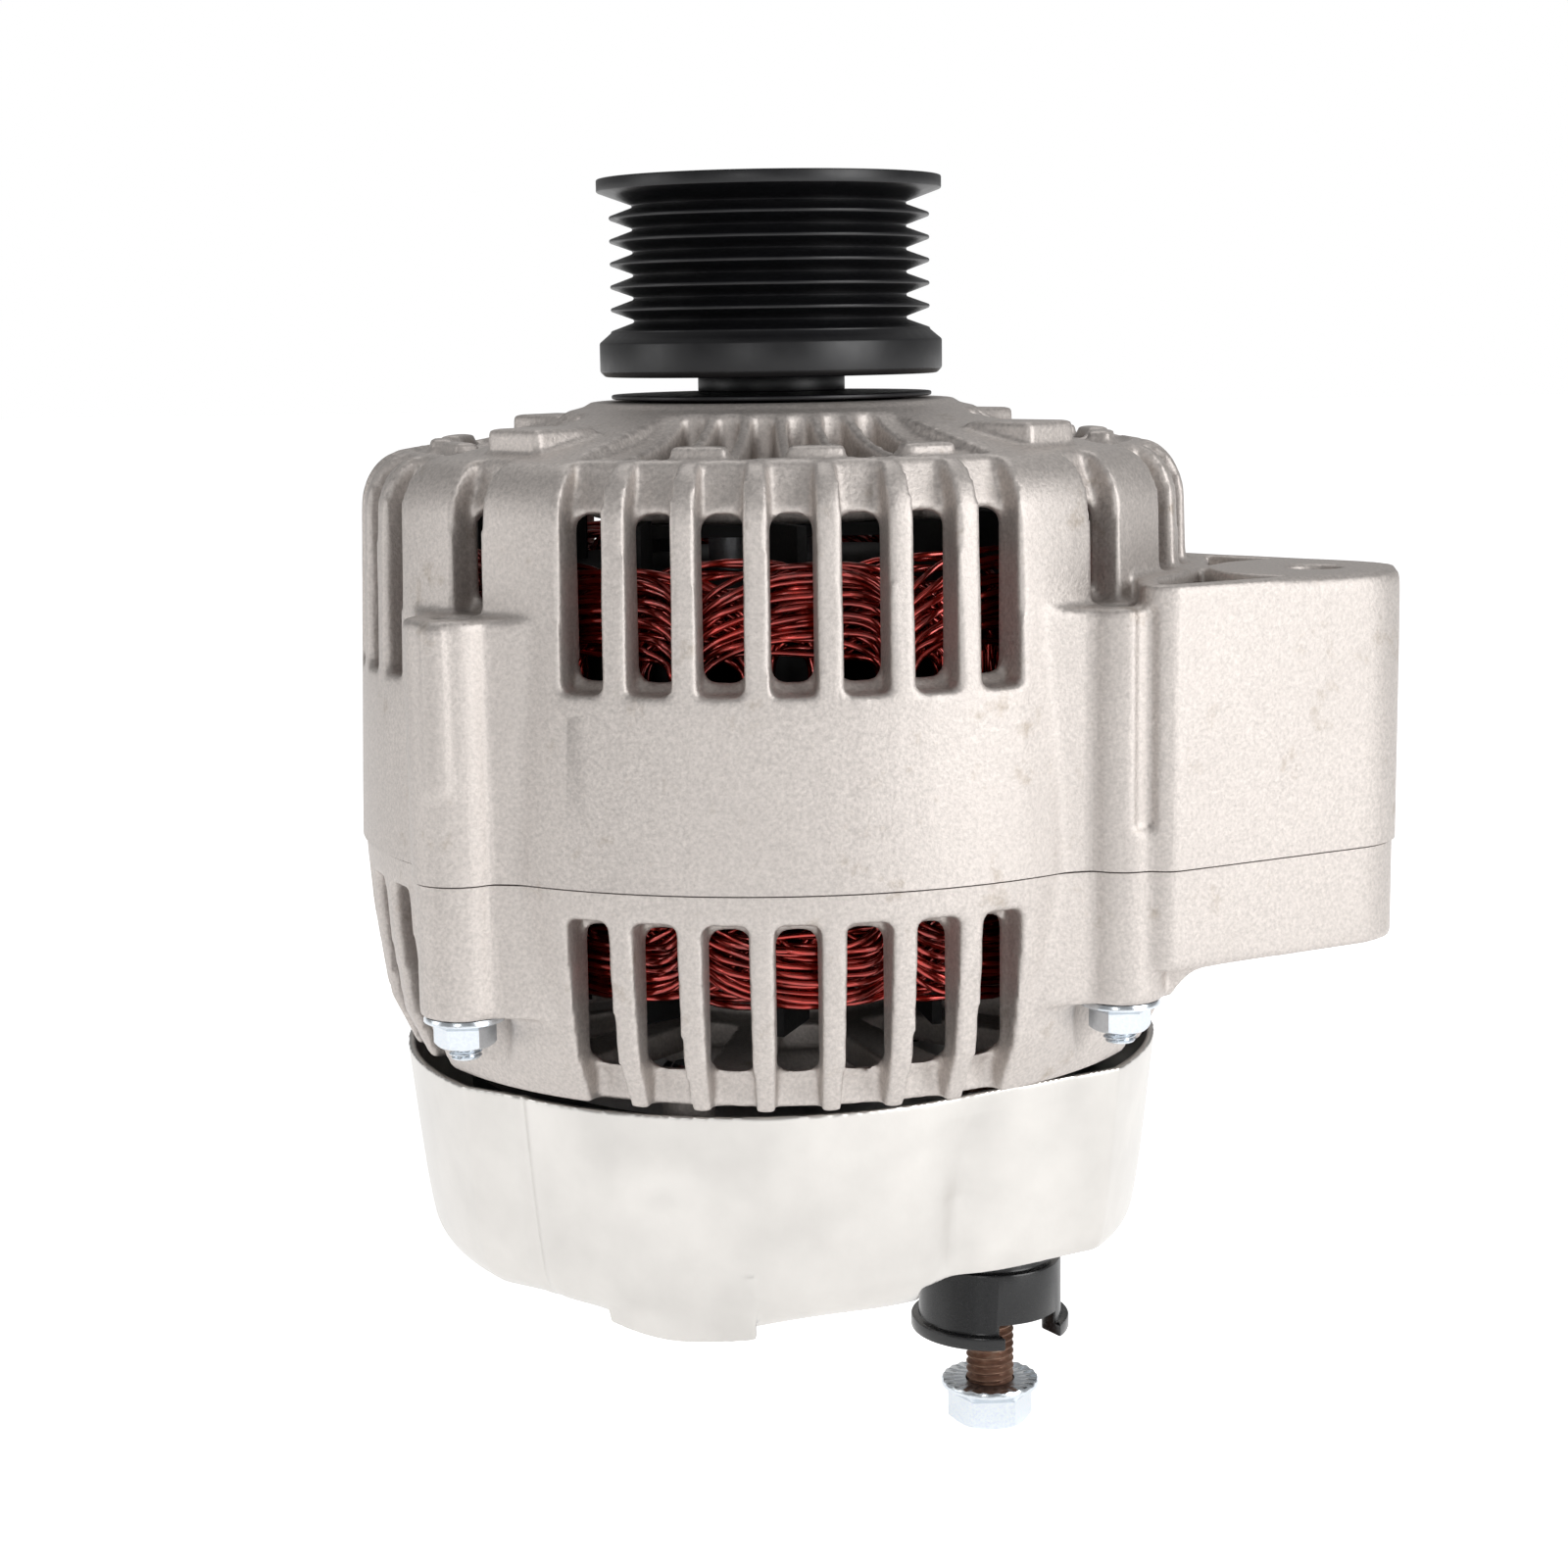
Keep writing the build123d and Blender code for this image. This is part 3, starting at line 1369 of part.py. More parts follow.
# Voltage regulator with its connector socket, and its screws
regulator_back_z = regulator_top_z - regulator_height
with BuildPart() as regulator:
    with BuildSketch(Plane.XY.offset(regulator_back_z)):
        with Locations((regulator_x, regulator_y)):
            RectangleRounded(regulator_wide, regulator_deep, 2)
    extrude(amount=regulator_height)
    with BuildSketch(socket_plane):
        RectangleRounded(socket_width, socket_height, 3)
    extrude(amount=socket_length)
    with BuildSketch(socket_plane.offset(socket_length)):
        RectangleRounded(socket_width - 2 * socket_wall, socket_height - 2 * socket_wall, 1.5)
    extrude(amount=-socket_depth, mode=Mode.SUBTRACT)
    with BuildSketch(socket_plane.offset(socket_length - socket_depth)):
        with GridLocations(socket_width / 4, 1, 3, 1):
            Rectangle(0.8, 3)
    extrude(amount=socket_depth * 0.6)
    with BuildSketch(Plane.XY.offset(regulator_back_z)):
        with Locations((regulator_x, regulator_y)):
            Circle(screw_d / 2 + hole_clearance)
    extrude(amount=regulator_height, mode=Mode.SUBTRACT)

with BuildPart() as regulator_screw:
    with Locations((regulator_x, regulator_y, regulator_back_z)):
        Cylinder(
            screw_d / 2,
            regulator_height + screw_length - 1,
            align=(Align.CENTER, Align.CENTER, Align.MIN),
        )
        Cylinder(
            screw_head_d / 2,
            screw_head,
            align=(Align.CENTER, Align.CENTER, Align.MAX),
        )
with BuildPart() as brush_holder_screws:
    for side in (-1, 1):
        with Locations((side * holder_ear_x, holder_ear_y, ear_face_z)):
            Cylinder(
                screw_d / 2,
                holder_ear_thickness + screw_length - 1,
                align=(Align.CENTER, Align.CENTER, Align.MIN),
            )
            Cylinder(
                screw_head_d / 2,
                screw_head,
                align=(Align.CENTER, Align.CENTER, Align.MAX),
            )

# Every piece by the name of its node
pieces.update(
    pulley=pulley,
    rotor_shaft=rotor_shaft,
    pulley_nut=pulley_nut,
    shaft_collar=shaft_collar,
    dust_slinger=dust_slinger,
    drive_end_frame=drive_end_frame,
    rear_end_frame=rear_end_frame,
    bearing_retainer=bearing_retainer,
    retainer_screws=retainer_screws,
    through_studs=through_studs,
    stud_nuts=stud_nuts,
    stator_core=stator_core,
    stator_winding=stator_winding,
    claw_pole_front=claw_pole_front,
    claw_pole_rear=claw_pole_rear,
    rotor_core=rotor_core,
    field_bobbin=field_bobbin,
    field_coil=field_coil,
    front_fan=front_fan,
    rear_fan=rear_fan,
    slip_ring_carrier=slip_ring_carrier,
    brush_holder=brush_holder,
    brush_holder_screws=brush_holder_screws,
    rear_cover=rear_cover,
    cover_studs=cover_studs,
    cover_nuts=cover_nuts,
    rectifier_spacer=rectifier_spacer,
    rectifier_plate=rectifier_plate,
    rectifier_diodes=rectifier_diodes,
    rectifier_terminal_block=rectifier_terminal_block,
    output_stud=output_stud,
    output_nut=output_nut,
    output_insulator=output_insulator,
    regulator=regulator,
    regulator_screw=regulator_screw,
)
os.makedirs("parts", exist_ok=True)
for name, piece in pieces.items():
    piece.part.label = name
    export_step(piece.part, "parts/" + name + ".step")
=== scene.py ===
import json
import math
import random

import bmesh
import bpy
import numpy as np
from bpy.props import FloatProperty, FloatVectorProperty, IntProperty, PointerProperty
from mathutils import Matrix, Vector


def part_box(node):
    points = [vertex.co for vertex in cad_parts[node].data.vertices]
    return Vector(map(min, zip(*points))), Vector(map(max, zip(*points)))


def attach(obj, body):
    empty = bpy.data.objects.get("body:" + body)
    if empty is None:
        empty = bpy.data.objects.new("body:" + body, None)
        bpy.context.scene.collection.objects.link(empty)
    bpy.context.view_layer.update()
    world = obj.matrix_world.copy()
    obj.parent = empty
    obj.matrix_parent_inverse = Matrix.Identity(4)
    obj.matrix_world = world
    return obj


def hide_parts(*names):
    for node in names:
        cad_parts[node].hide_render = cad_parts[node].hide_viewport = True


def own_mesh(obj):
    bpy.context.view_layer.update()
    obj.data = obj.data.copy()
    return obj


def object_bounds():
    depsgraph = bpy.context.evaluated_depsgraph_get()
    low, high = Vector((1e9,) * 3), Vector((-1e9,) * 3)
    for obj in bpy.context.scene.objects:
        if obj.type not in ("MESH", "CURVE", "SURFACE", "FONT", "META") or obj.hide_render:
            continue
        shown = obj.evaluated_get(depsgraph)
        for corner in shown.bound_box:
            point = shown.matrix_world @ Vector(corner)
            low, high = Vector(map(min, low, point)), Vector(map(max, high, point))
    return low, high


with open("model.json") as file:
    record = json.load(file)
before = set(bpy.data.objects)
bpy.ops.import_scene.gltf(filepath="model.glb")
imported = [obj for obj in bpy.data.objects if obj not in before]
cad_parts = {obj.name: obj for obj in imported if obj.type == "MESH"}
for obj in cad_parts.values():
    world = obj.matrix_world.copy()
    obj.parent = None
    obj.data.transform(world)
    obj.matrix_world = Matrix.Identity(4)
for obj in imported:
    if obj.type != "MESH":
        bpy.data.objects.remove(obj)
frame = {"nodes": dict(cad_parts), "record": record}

bl_info = {
    "name": "Alternator dresser",
    "version": (1, 0, 0),
    "blender": (4, 5, 0),
    "location": "View3D > Sidebar > Alternator",
    "description": "Dresses the fixed frame of a belt driven alternator with cast, wound and plated pieces",
    "category": "Object",
}

MM = 0.001
CAD_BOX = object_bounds()
HOUSING = "housing"
ROTOR = "rotor"


# Sizes read from the fixed frame

def low(node_name):
    """Lowest corner of a node of the frame."""
    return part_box(node_name)[0]


def high(node_name):
    """Highest corner of a node of the frame."""
    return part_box(node_name)[1]


PARTING = low("drive_end_frame").z
PARTING_GAP = 0.3 * MM
CORE_FRONT = high("stator_core").z
CORE_BACK = low("stator_core").z
NOSE = high("drive_end_frame").z

# Sizes that the boxes don't give
SHOULDER = NOSE - 7.0 * MM
DECK_THICKNESS = 4.5 * MM
DECK_UNDER = SHOULDER - DECK_THICKNESS
DECK_SIDES = 4
SLOT_PITCH = math.radians(9)
BOSS_RING_R = 68.5 * MM
BOSS_R = 7.0 * MM
LEFT_BOSS, LUG_BOSS = 2, 3
BOSS_TOP = NOSE - 29.0 * MM
BOSS_BOTTOM = PARTING - 20.1 * MM
LUG_TOP = NOSE - 25.8 * MM
LUG_BOTTOM = PARTING - 15.0 * MM
LUG_CENTRE = (81.1 * MM, -28.4 * MM)
LUG_EDGE_WAY = (0.656, -0.755)
STUD_NUT_FLATS = 8 * MM
TERMINAL_NUT_FLATS = 12 * MM
TERMINAL_STUD_R = 3.9 * MM
TERMINAL_HEAD = 3 * MM


def boss_centre(corner):
    """The middle of a stud boss. The bosses are counted round from the one at 45 degrees."""
    angle = math.radians(45 + 90 * corner)
    return (BOSS_RING_R * math.cos(angle), BOSS_RING_R * math.sin(angle))


# Colours

def linear(hex_colour):
    """An sRGB hex colour as a linear RGBA tuple."""
    channels = [int(hex_colour[i:i + 2], 16) / 255 for i in (1, 3, 5)]
    return tuple(c / 12.92 if c <= 0.04045 else ((c + 0.055) / 1.055) ** 2.4 for c in channels) + (1.0,)


def colour_property(name, description, hex_colour):
    """A colour that a user can change, with its default given in sRGB hex."""
    return FloatVectorProperty(
        name=name, description=description, subtype="COLOR", size=4, min=0, max=1,
        default=linear(hex_colour))


class AlternatorCastings(bpy.types.PropertyGroup):
    """Sizes and colours of the two die-cast end frames"""
    colour: colour_property("Casting", "Blasted die-cast aluminium", "#cbc4bf")
    stain: colour_property("Stain", "Storage stain in the corners of the castings", "#8f7f6a")
    voxel: FloatProperty(
        name="Mesh size", description="Size of the mesh that rounds the cast edges",
        default=0.6 * MM, unit="LENGTH")
    rounding: IntProperty(
        name="Rounding", description="Smoothing passes that round the cast edges", default=7)
    grain: FloatProperty(
        name="Grain", description="Width of the blasted grain", default=0.55 * MM, unit="LENGTH")
    scoop: FloatProperty(
        name="Scoop", description="How deep the deck's fins dip below the nose",
        default=4.7 * MM, unit="LENGTH")
    lug_edge: IntProperty(
        name="Lug edge", description="Smoothing passes on the lug's large near edge", default=45)


class AlternatorWindings(bpy.types.PropertyGroup):
    """Sizes and colours of the stator windings"""
    colour: colour_property("Enamel", "Red enamel on the copper wire", "#9c2317")
    wire: FloatProperty(
        name="Wire", description="Diameter of one enamelled wire", default=1.0 * MM, unit="LENGTH")
    strands: IntProperty(
        name="Strands", description="Wires in each coil head", default=13)
    heads: IntProperty(
        name="Coil heads", description="Coil heads of one phase around the stator", default=12)
    waver: FloatProperty(
        name="Waver", description="How far a wire strays from its neighbours",
        default=0.45 * MM, unit="LENGTH")


class AlternatorPulley(bpy.types.PropertyGroup):
    """Colour and edges of the pulley, the collar and the dust slinger"""
    colour: colour_property("Pulley", "Black electrocoat on turned steel", "#101013")
    edge: FloatProperty(
        name="Edge", description="Rounding of the turned edges", default=0.22 * MM, unit="LENGTH")


class AlternatorFasteners(bpy.types.PropertyGroup):
    """Threads and plating of the studs and nuts"""
    terminal_pitch: FloatProperty(
        name="Terminal thread", description="Pitch of the M8 output stud", default=1.25 * MM, unit="LENGTH")
    stud_pitch: FloatProperty(
        name="Stud thread", description="Pitch of the M5 studs", default=0.8 * MM, unit="LENGTH")
    zinc: colour_property("Zinc", "Blue zinc plating on the nuts", "#d1d7dd")


class AlternatorCover(bpy.types.PropertyGroup):
    """Sizes and colour of the pressed rear cover"""
    colour: colour_property("Cover", "Pale satin aluminium sheet", "#d1ceca")
    tuck: FloatProperty(
        name="Tuck", description="How far the wall turns in towards the floor",
        default=1.2 * MM, unit="LENGTH")
    skirt: FloatProperty(
        name="Skirt", description="How far the rim reaches down in front of the nearest nut",
        default=2.8 * MM, unit="LENGTH")
    dent: FloatProperty(
        name="Dent", description="Depth of the hollow beside the output terminal",
        default=3.4 * MM, unit="LENGTH")


class AlternatorStage(bpy.types.PropertyGroup):
    """Camera, floor and lamps"""
    floor_colour: colour_property("Floor", "Plain pale floor and backdrop", "#f4f4f4")
    focal: FloatProperty(
        name="Focal length", description="Focal length of the camera on a 36 mm sensor", default=63.81)
    camera_place: FloatVectorProperty(
        name="Camera place", description="Where the photograph was taken from, in the part's frame",
        default=(-17.7 * MM, -447.7 * MM, -10.5 * MM), subtype="TRANSLATION", unit="LENGTH")
    azimuth: FloatProperty(
        name="Azimuth", description="Turn of the view about the shaft",
        default=math.radians(-2.4), subtype="ANGLE")
    pitch: FloatProperty(
        name="Pitch", description="How far the camera looks down",
        default=math.radians(9.29), subtype="ANGLE")
    roll: FloatProperty(
        name="Roll", description="Turn of the camera about its own line of sight",
        default=math.radians(-0.85), subtype="ANGLE")


# Meshes

def new_piece(name, mesh, body, node_name):
    """Put a finished mesh into the scene as a piece that rides on a body and stands for a node."""
    piece = bpy.data.objects.new(name, mesh)
    bpy.context.scene.collection.objects.link(piece)
    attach(piece, body)
    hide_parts(node_name)
    return piece


def merged_mesh(node_name):
    """A copy of a node's mesh with its loose triangles merged."""
    mesh = frame["nodes"][node_name].data.copy()
    work = bmesh.new()
    work.from_mesh(mesh)
    bmesh.ops.remove_doubles(work, verts=work.verts, dist=1e-6)
    bmesh.ops.recalc_face_normals(work, faces=work.faces)
    work.to_mesh(mesh)
    work.free()
    mesh.materials.clear()
    return mesh


def joined(name, meshes):
    """Several meshes of one material as a single mesh."""
    work = bmesh.new()
    for mesh in meshes:
        work.from_mesh(mesh)
    whole = bpy.data.meshes.new(name)
    work.to_mesh(whole)
    work.free()
    for mesh in meshes:
        for item in mesh.materials:
            if item and item.name not in whole.materials:
                whole.materials.append(item)
        bpy.data.meshes.remove(mesh)
    whole.polygons.foreach_set("use_smooth", [True] * len(whole.polygons))
    return whole


def evaluated(mesh, name, add_modifiers):
    """The mesh as it is after modifiers, as a new plain mesh."""
    holder = bpy.data.objects.new(name, mesh)
    bpy.context.scene.collection.objects.link(holder)
    add_modifiers(holder)
    graph = bpy.context.evaluated_depsgraph_get()
    made = bpy.data.meshes.new_from_object(holder.evaluated_get(graph))
    bpy.data.objects.remove(holder)
    made.name = name
    return made


def smooth(mesh, crease=math.radians(35)):
    """Shade a mesh smooth, with its edges above the crease angle kept sharp."""
    mesh.polygons.foreach_set("use_smooth", [True] * len(mesh.polygons))
    mesh.set_sharp_from_angle(angle=crease)
    return mesh


def cut_flat(mesh, height, keep_above):
    """Cut a mesh at a height, as a machined face, and close the cut."""
    work = bmesh.new()
    work.from_mesh(mesh)
    side = -1 if keep_above else 1
    cut = bmesh.ops.bisect_plane(
        work, geom=work.verts[:] + work.edges[:] + work.faces[:], dist=1e-7,
        plane_co=(0, 0, height), plane_no=(0, 0, side), clear_outer=True)
    rim = [item for item in cut["geom_cut"] if isinstance(item, bmesh.types.BMEdge)]
    bmesh.ops.triangle_fill(work, edges=rim, use_beauty=True, normal=(0, 0, side))
    work.to_mesh(mesh)
    work.free()
    return mesh


def sector_mesh(name, outline, middle, half, centre=(0, 0), steps=16):
    """A closed wedge: an outline of (radius, height) points turned about a centre, half an angle each way."""
    count = len(outline)
    vertices = []
    faces = [tuple(range(count)), tuple(reversed(range(steps * count, (steps + 1) * count)))]
    for i in range(steps + 1):
        angle = middle - half + 2 * half * i / steps
        for radius, height in outline:
            vertices.append((
                centre[0] + radius * math.cos(angle), centre[1] + radius * math.sin(angle), height))
    for i in range(steps):
        for k in range(count):
            n = (k + 1) % count
            faces.append((i * count + k, i * count + n, (i + 1) * count + n, (i + 1) * count + k))
    mesh = bpy.data.meshes.new(name)
    mesh.from_pydata(vertices, [], faces)
    work = bmesh.new()
    work.from_mesh(mesh)
    bmesh.ops.recalc_face_normals(work, faces=work.faces)
    work.to_mesh(mesh)
    work.free()
    return mesh


def less(mesh, tools):
    """A mesh with other closed meshes taken away from it."""
    tool = bpy.data.objects.new("tool", joined("tool", tools))
    bpy.context.scene.collection.objects.link(tool)

    def cutting(holder):
        cut = holder.modifiers.new("cut", "BOOLEAN")
        cut.operation = "DIFFERENCE"
        cut.solver = "EXACT"
        cut.object = tool

    made = evaluated(mesh, mesh.name + "_cut", cutting)
    bpy.data.objects.remove(tool)
    return made


def vertex_array(mesh):
    """The places of a mesh's vertices as an array."""
    places = np.empty(len(mesh.vertices) * 3)
    mesh.vertices.foreach_get("co", places)
    return places.reshape(-1, 3)


def softened(mesh, weights, passes):
    """A mesh smoothed further where its weights are high, in four levels."""
    def softening(holder):
        group = holder.vertex_groups.new(name="soft")
        for level in (0.25, 0.5, 0.75, 1.0):
            chosen = np.nonzero(np.abs(weights - level) <= 0.125)[0]
            group.add(chosen.tolist(), level, "REPLACE")
        soften = holder.modifiers.new("large edge", "SMOOTH")
        soften.factor = 0.5
        soften.iterations = passes
        soften.vertex_group = group.name

    return evaluated(mesh, mesh.name, softening)


def cast_mesh(node_name, voxel, passes, parting_side, added=(), cut=(), soft=None, triangles=190000):
    """A node's form with the rounded edges of a casting, cut flat again at the parting line.

    The form first reaches a little past the parting line, so that the cut there leaves a sharp edge.
    """
    mesh = merged_mesh(node_name)
    if cut:
        mesh = less(mesh, cut)
    if added:
        mesh = joined(node_name + "_whole", [mesh, *added])
    spare = 2 * MM
    for vertex in mesh.vertices:
        if abs(vertex.co.z - PARTING) < 1e-6:
            vertex.co.z -= parting_side * spare

    def rounding(holder):
        remesh = holder.modifiers.new("cast skin", "REMESH")
        remesh.mode = "VOXEL"
        remesh.voxel_size = voxel
        remesh.use_smooth_shade = True
        soften = holder.modifiers.new("cast edges", "SMOOTH")
        soften.factor = 0.5
        soften.iterations = passes

    made = evaluated(mesh, node_name + "_cast", rounding)
    if soft:
        made = softened(made, *soft(vertex_array(made)))
    count = sum(len(face.vertices) - 2 for face in made.polygons)
    if count > triangles:
        def thinning(holder):
            fewer = holder.modifiers.new("fewer faces", "DECIMATE")
            fewer.ratio = triangles / count
        made = evaluated(made, node_name + "_cast", thinning)
    cut_flat(made, PARTING + parting_side * PARTING_GAP / 2, parting_side > 0)
    return smooth(made, math.radians(50))


def edged_mesh(node_name, width, segments=2, crease=math.radians(25)):
    """A node's form with its turned or stamped edges rounded a little."""
    def rounding(holder):
        bevel = holder.modifiers.new("broken edges", "BEVEL")
        bevel.width = width
        bevel.segments = segments
        bevel.limit_method = "ANGLE"
        bevel.angle_limit = crease
        bevel.use_clamp_overlap = True
    return smooth(evaluated(merged_mesh(node_name), node_name + "_edged", rounding), crease)


def ring_mesh(name, rings, steps, centre=(0, 0), closed=False):
    """A round body from rings of (radius, height), each a number or one value for every step."""
    angles = np.arange(steps) * 2 * math.pi / steps
    points = []
    for radius, height in rings:
        r = np.broadcast_to(radius, steps)
        z = np.broadcast_to(height, steps)
        points.append(np.stack([centre[0] + r * np.cos(angles), centre[1] + r * np.sin(angles), z], 1))
    vertices = np.concatenate(points)
    count = len(rings)
    faces = []
    for i in range(count if closed else count - 1):
        here, there = i * steps, (i + 1) % count * steps
        for k in range(steps):
            n = (k + 1) % steps
            faces.append((here + k, here + n, there + n, there + k))
    mesh = bpy.data.meshes.new(name)
    mesh.from_pydata(vertices.tolist(), [], faces)
    work = bmesh.new()
    work.from_mesh(mesh)
    bmesh.ops.remove_doubles(work, verts=work.verts, dist=1e-7)
    bmesh.ops.recalc_face_normals(work, faces=work.faces)
    work.to_mesh(mesh)
    work.free()
    return mesh


def solids(node_name):
    """The lowest and highest corner of each separate solid of a node."""
    mesh = merged_mesh(node_name)
    work = bmesh.new()
    work.from_mesh(mesh)
    left = set(work.verts)
    found = []
    while left:
        reached = [left.pop()]
        island = list(reached)
        while reached:
            for edge in reached.pop().link_edges:
                for vertex in edge.verts:
                    if vertex in left:
                        left.remove(vertex)
                        reached.append(vertex)
                        island.append(vertex)
        points = np.array([vertex.co for vertex in island])
        found.append((points.min(0), points.max(0)))
    work.free()
    bpy.data.meshes.remove(mesh)
    return sorted(found, key=lambda corners: tuple(corners[0]))


def flange_nut_mesh(name, corners, flats, tooth):
    """A flange nut seated at the top of its box: serrated seat, coned flange and chamfered hexagon."""
    lowest, highest = corners
    steps = 96
    flange = (highest[0] - lowest[0]) / 2
    height = highest[2] - lowest[2]
    bore = flats * 0.335
    face = flats * 0.485
    plate = 0.3 * height
    turn = np.arange(steps) * 2 * math.pi / steps
    hexagon = flats / 2 / np.cos(turn % (math.pi / 3) - math.pi / 6)
    teeth = np.where(np.arange(steps) % 4 < 2, 0.0, tooth)
    rings = [(bore, tooth), (flange * 0.72, tooth), (flange * 0.75, teeth), (flange * 0.97, teeth),
             (flange, 0.45 * MM), (flange, 0.35 * plate + 0.3 * MM), (hexagon + 0.25 * MM, plate),
             (hexagon, plate + 0.25 * MM)]
    for drop in (0.9, 0.7, 0.5, 0.3, 0.15, 0.0):
        chamfer = face + drop * MM * math.sqrt(3)
        rings.append((np.minimum(hexagon, chamfer), height - drop * MM))
    rings += [(bore + 0.5 * MM, height), (bore, height - 0.5 * MM)]
    centre = ((lowest[0] + highest[0]) / 2, (lowest[1] + highest[1]) / 2)
    return ring_mesh(
        name, [(radius, highest[2] - depth) for radius, depth in rings], steps, centre, closed=True)


def threaded_mesh(name, corners, pitch, length, headed=False):
    """A stud with a rolled thread on its lower end. A headed one has the terminal's hexagon at its top."""
    lowest, highest = corners
    steps = 36
    rows = 8
    turn = np.arange(steps) / steps
    centre = ((lowest[0] + highest[0]) / 2, (lowest[1] + highest[1]) / 2)
    half_width = (highest[1] - lowest[1]) / 2
    top = highest[2]
    if headed:
        radius = TERMINAL_STUD_R
        hexagon = half_width / np.cos(turn * 2 * math.pi % (math.pi / 3) - math.pi / 6)
        rings = [(0.0, top), (hexagon, top), (hexagon, top - TERMINAL_HEAD)]
    else:
        radius = half_width
        chamfer = 0.4 * MM
        rings = [(0.0, top), (radius - chamfer, top), (radius, top - chamfer)]
    start = lowest[2] + length
    core = radius - 0.6 * pitch
    rings.append((radius, start + pitch))
    count = int(length / pitch * rows)
    for i in range(count):
        height = start - i * pitch / rows
        wave = 1 - np.abs(2 * ((i / rows + turn) % 1) - 1)
        crest = np.clip(1.35 * wave - 0.12, 0, 1)
        outer = core + (radius - core) * crest
        limit = core + (height - lowest[2]) * 0.8
        rings.append((np.minimum(outer, limit), height))
    rings += [(core - 0.2 * MM, lowest[2]), (0.0, lowest[2])]
    return ring_mesh(name, rings, steps, centre)


# Materials

def node(tree, kind, inputs=None, **settings):
    """Add a node with its settings. An input is a plain value, or an output socket to link."""
    made = tree.nodes.new(kind)
    for name, value in settings.items():
        setattr(made, name, value)
    for name, value in (inputs or {}).items():
        if isinstance(value, bpy.types.NodeSocket):
            tree.links.new(value, made.inputs[name])
        else:
            made.inputs[name].default_value = value
    return made


def material(name):
    """An empty material with its tree, its shader and its object coordinates."""
    made = bpy.data.materials.new(name)
    made.use_nodes = True
    tree = made.node_tree
    tree.nodes.clear()
    shader = node(tree, "ShaderNodeBsdfPrincipled")
    output = node(tree, "ShaderNodeOutputMaterial")
    tree.links.new(shader.outputs["BSDF"], output.inputs["Surface"])
    coordinates = node(tree, "ShaderNodeTexCoord").outputs["Object"]
    return made, tree, shader, coordinates


def ramp(tree, factor, stops):
    """A colour ramp over (position, colour) stops."""
    made = node(tree, "ShaderNodeValToRGB", {"Fac": factor})
    elements = made.color_ramp.elements
    while len(elements) < len(stops):
        elements.new(0.5)
    for element, (position, colour) in zip(elements, stops):
        element.position = position
        element.color = colour
    return made.outputs["Color"]


def shade(colour, factor):
    """A colour made lighter or darker by a factor."""
    return tuple(min(1.0, c * factor) for c in colour[:3]) + (1.0,)


def grey(level):
    """A grey, as a strength from none at 0 to full at 1."""
    return (level, level, level, 1.0)


def noise(tree, place, width, detail, roughness=0.5):
    """A cloud pattern with spots of about this width."""
    return node(tree, "ShaderNodeTexNoise", {
        "Vector": place, "Scale": 1 / width, "Detail": detail, "Roughness": roughness}).outputs["Fac"]


def bump(tree, height, strength, distance, under=None):
    """A relief from a pattern, on top of another one where it is given."""
    made = node(tree, "ShaderNodeBump", {"Height": height, "Strength": strength, "Distance": distance})
    if under:
        tree.links.new(under, made.inputs["Normal"])
    return made.outputs["Normal"]


def vary_roughness(tree, shader, pattern, smoothest, roughest):
    """Let a pattern make the surface smoother and rougher from place to place."""
    spread = node(tree, "ShaderNodeMapRange", {"Value": pattern, "To Min": smoothest, "To Max": roughest})
    tree.links.new(spread.outputs["Result"], shader.inputs["Roughness"])


def blasted_cast_aluminium(colour, stain, grain):
    """Die-cast aluminium, shot blasted: a matt, faintly sparkling grain with warm storage stains."""
    made, tree, shader, place = material("blasted die-cast aluminium")
    fine = noise(tree, place, grain, 3.0, 0.6)
    coarse = noise(tree, place, 6 * grain, 2.0)
    cloud = noise(tree, place, 28 * MM, 4.0)
    spots = noise(tree, place, 9 * MM, 6.0, 0.7)
    base = ramp(tree, fine, [(0.3, shade(colour, 0.79)), (0.7, shade(colour, 1.13))])
    clouded = node(tree, "ShaderNodeMix", {
        "Factor": ramp(tree, cloud, [(0.35, grey(0.0)), (0.75, grey(0.35))]),
        6: base, 7: shade(colour, 0.82)}, data_type="RGBA")
    stained = node(tree, "ShaderNodeMix", {
        "Factor": ramp(tree, spots, [(0.60, grey(0.0)), (0.74, grey(0.55))]),
        6: clouded.outputs[2], 7: stain}, data_type="RGBA")
    tree.links.new(stained.outputs[2], shader.inputs["Base Color"])
    vary_roughness(tree, shader, fine, 0.42, 0.62)
    shader.inputs["Metallic"].default_value = 0.75
    relief = bump(tree, fine, 0.5, 0.14 * MM)
    waves = bump(tree, coarse, 0.25, 0.25 * MM, relief)
    tree.links.new(waves, shader.inputs["Normal"])
    return made


def pressed_aluminium(bright):
    """Pressed aluminium sheet, tumbled after pressing: pale, satin, with faint rubs and ripples."""
    made, tree, shader, place = material("pressed aluminium sheet")
    cloud = noise(tree, place, 16 * MM, 5.0)
    rub = noise(tree, place, 0.8 * MM, 2.0)
    base = ramp(tree, cloud, [(0.3, shade(bright, 0.86)), (0.7, shade(bright, 1.05))])
    tree.links.new(base, shader.inputs["Base Color"])
    vary_roughness(tree, shader, cloud, 0.26, 0.40)
    shader.inputs["Metallic"].default_value = 0.95
    ripple = bump(tree, cloud, 0.3, 0.6 * MM)
    tooth = bump(tree, rub, 0.12, 0.1 * MM, ripple)
    tree.links.new(tooth, shader.inputs["Normal"])
    return made


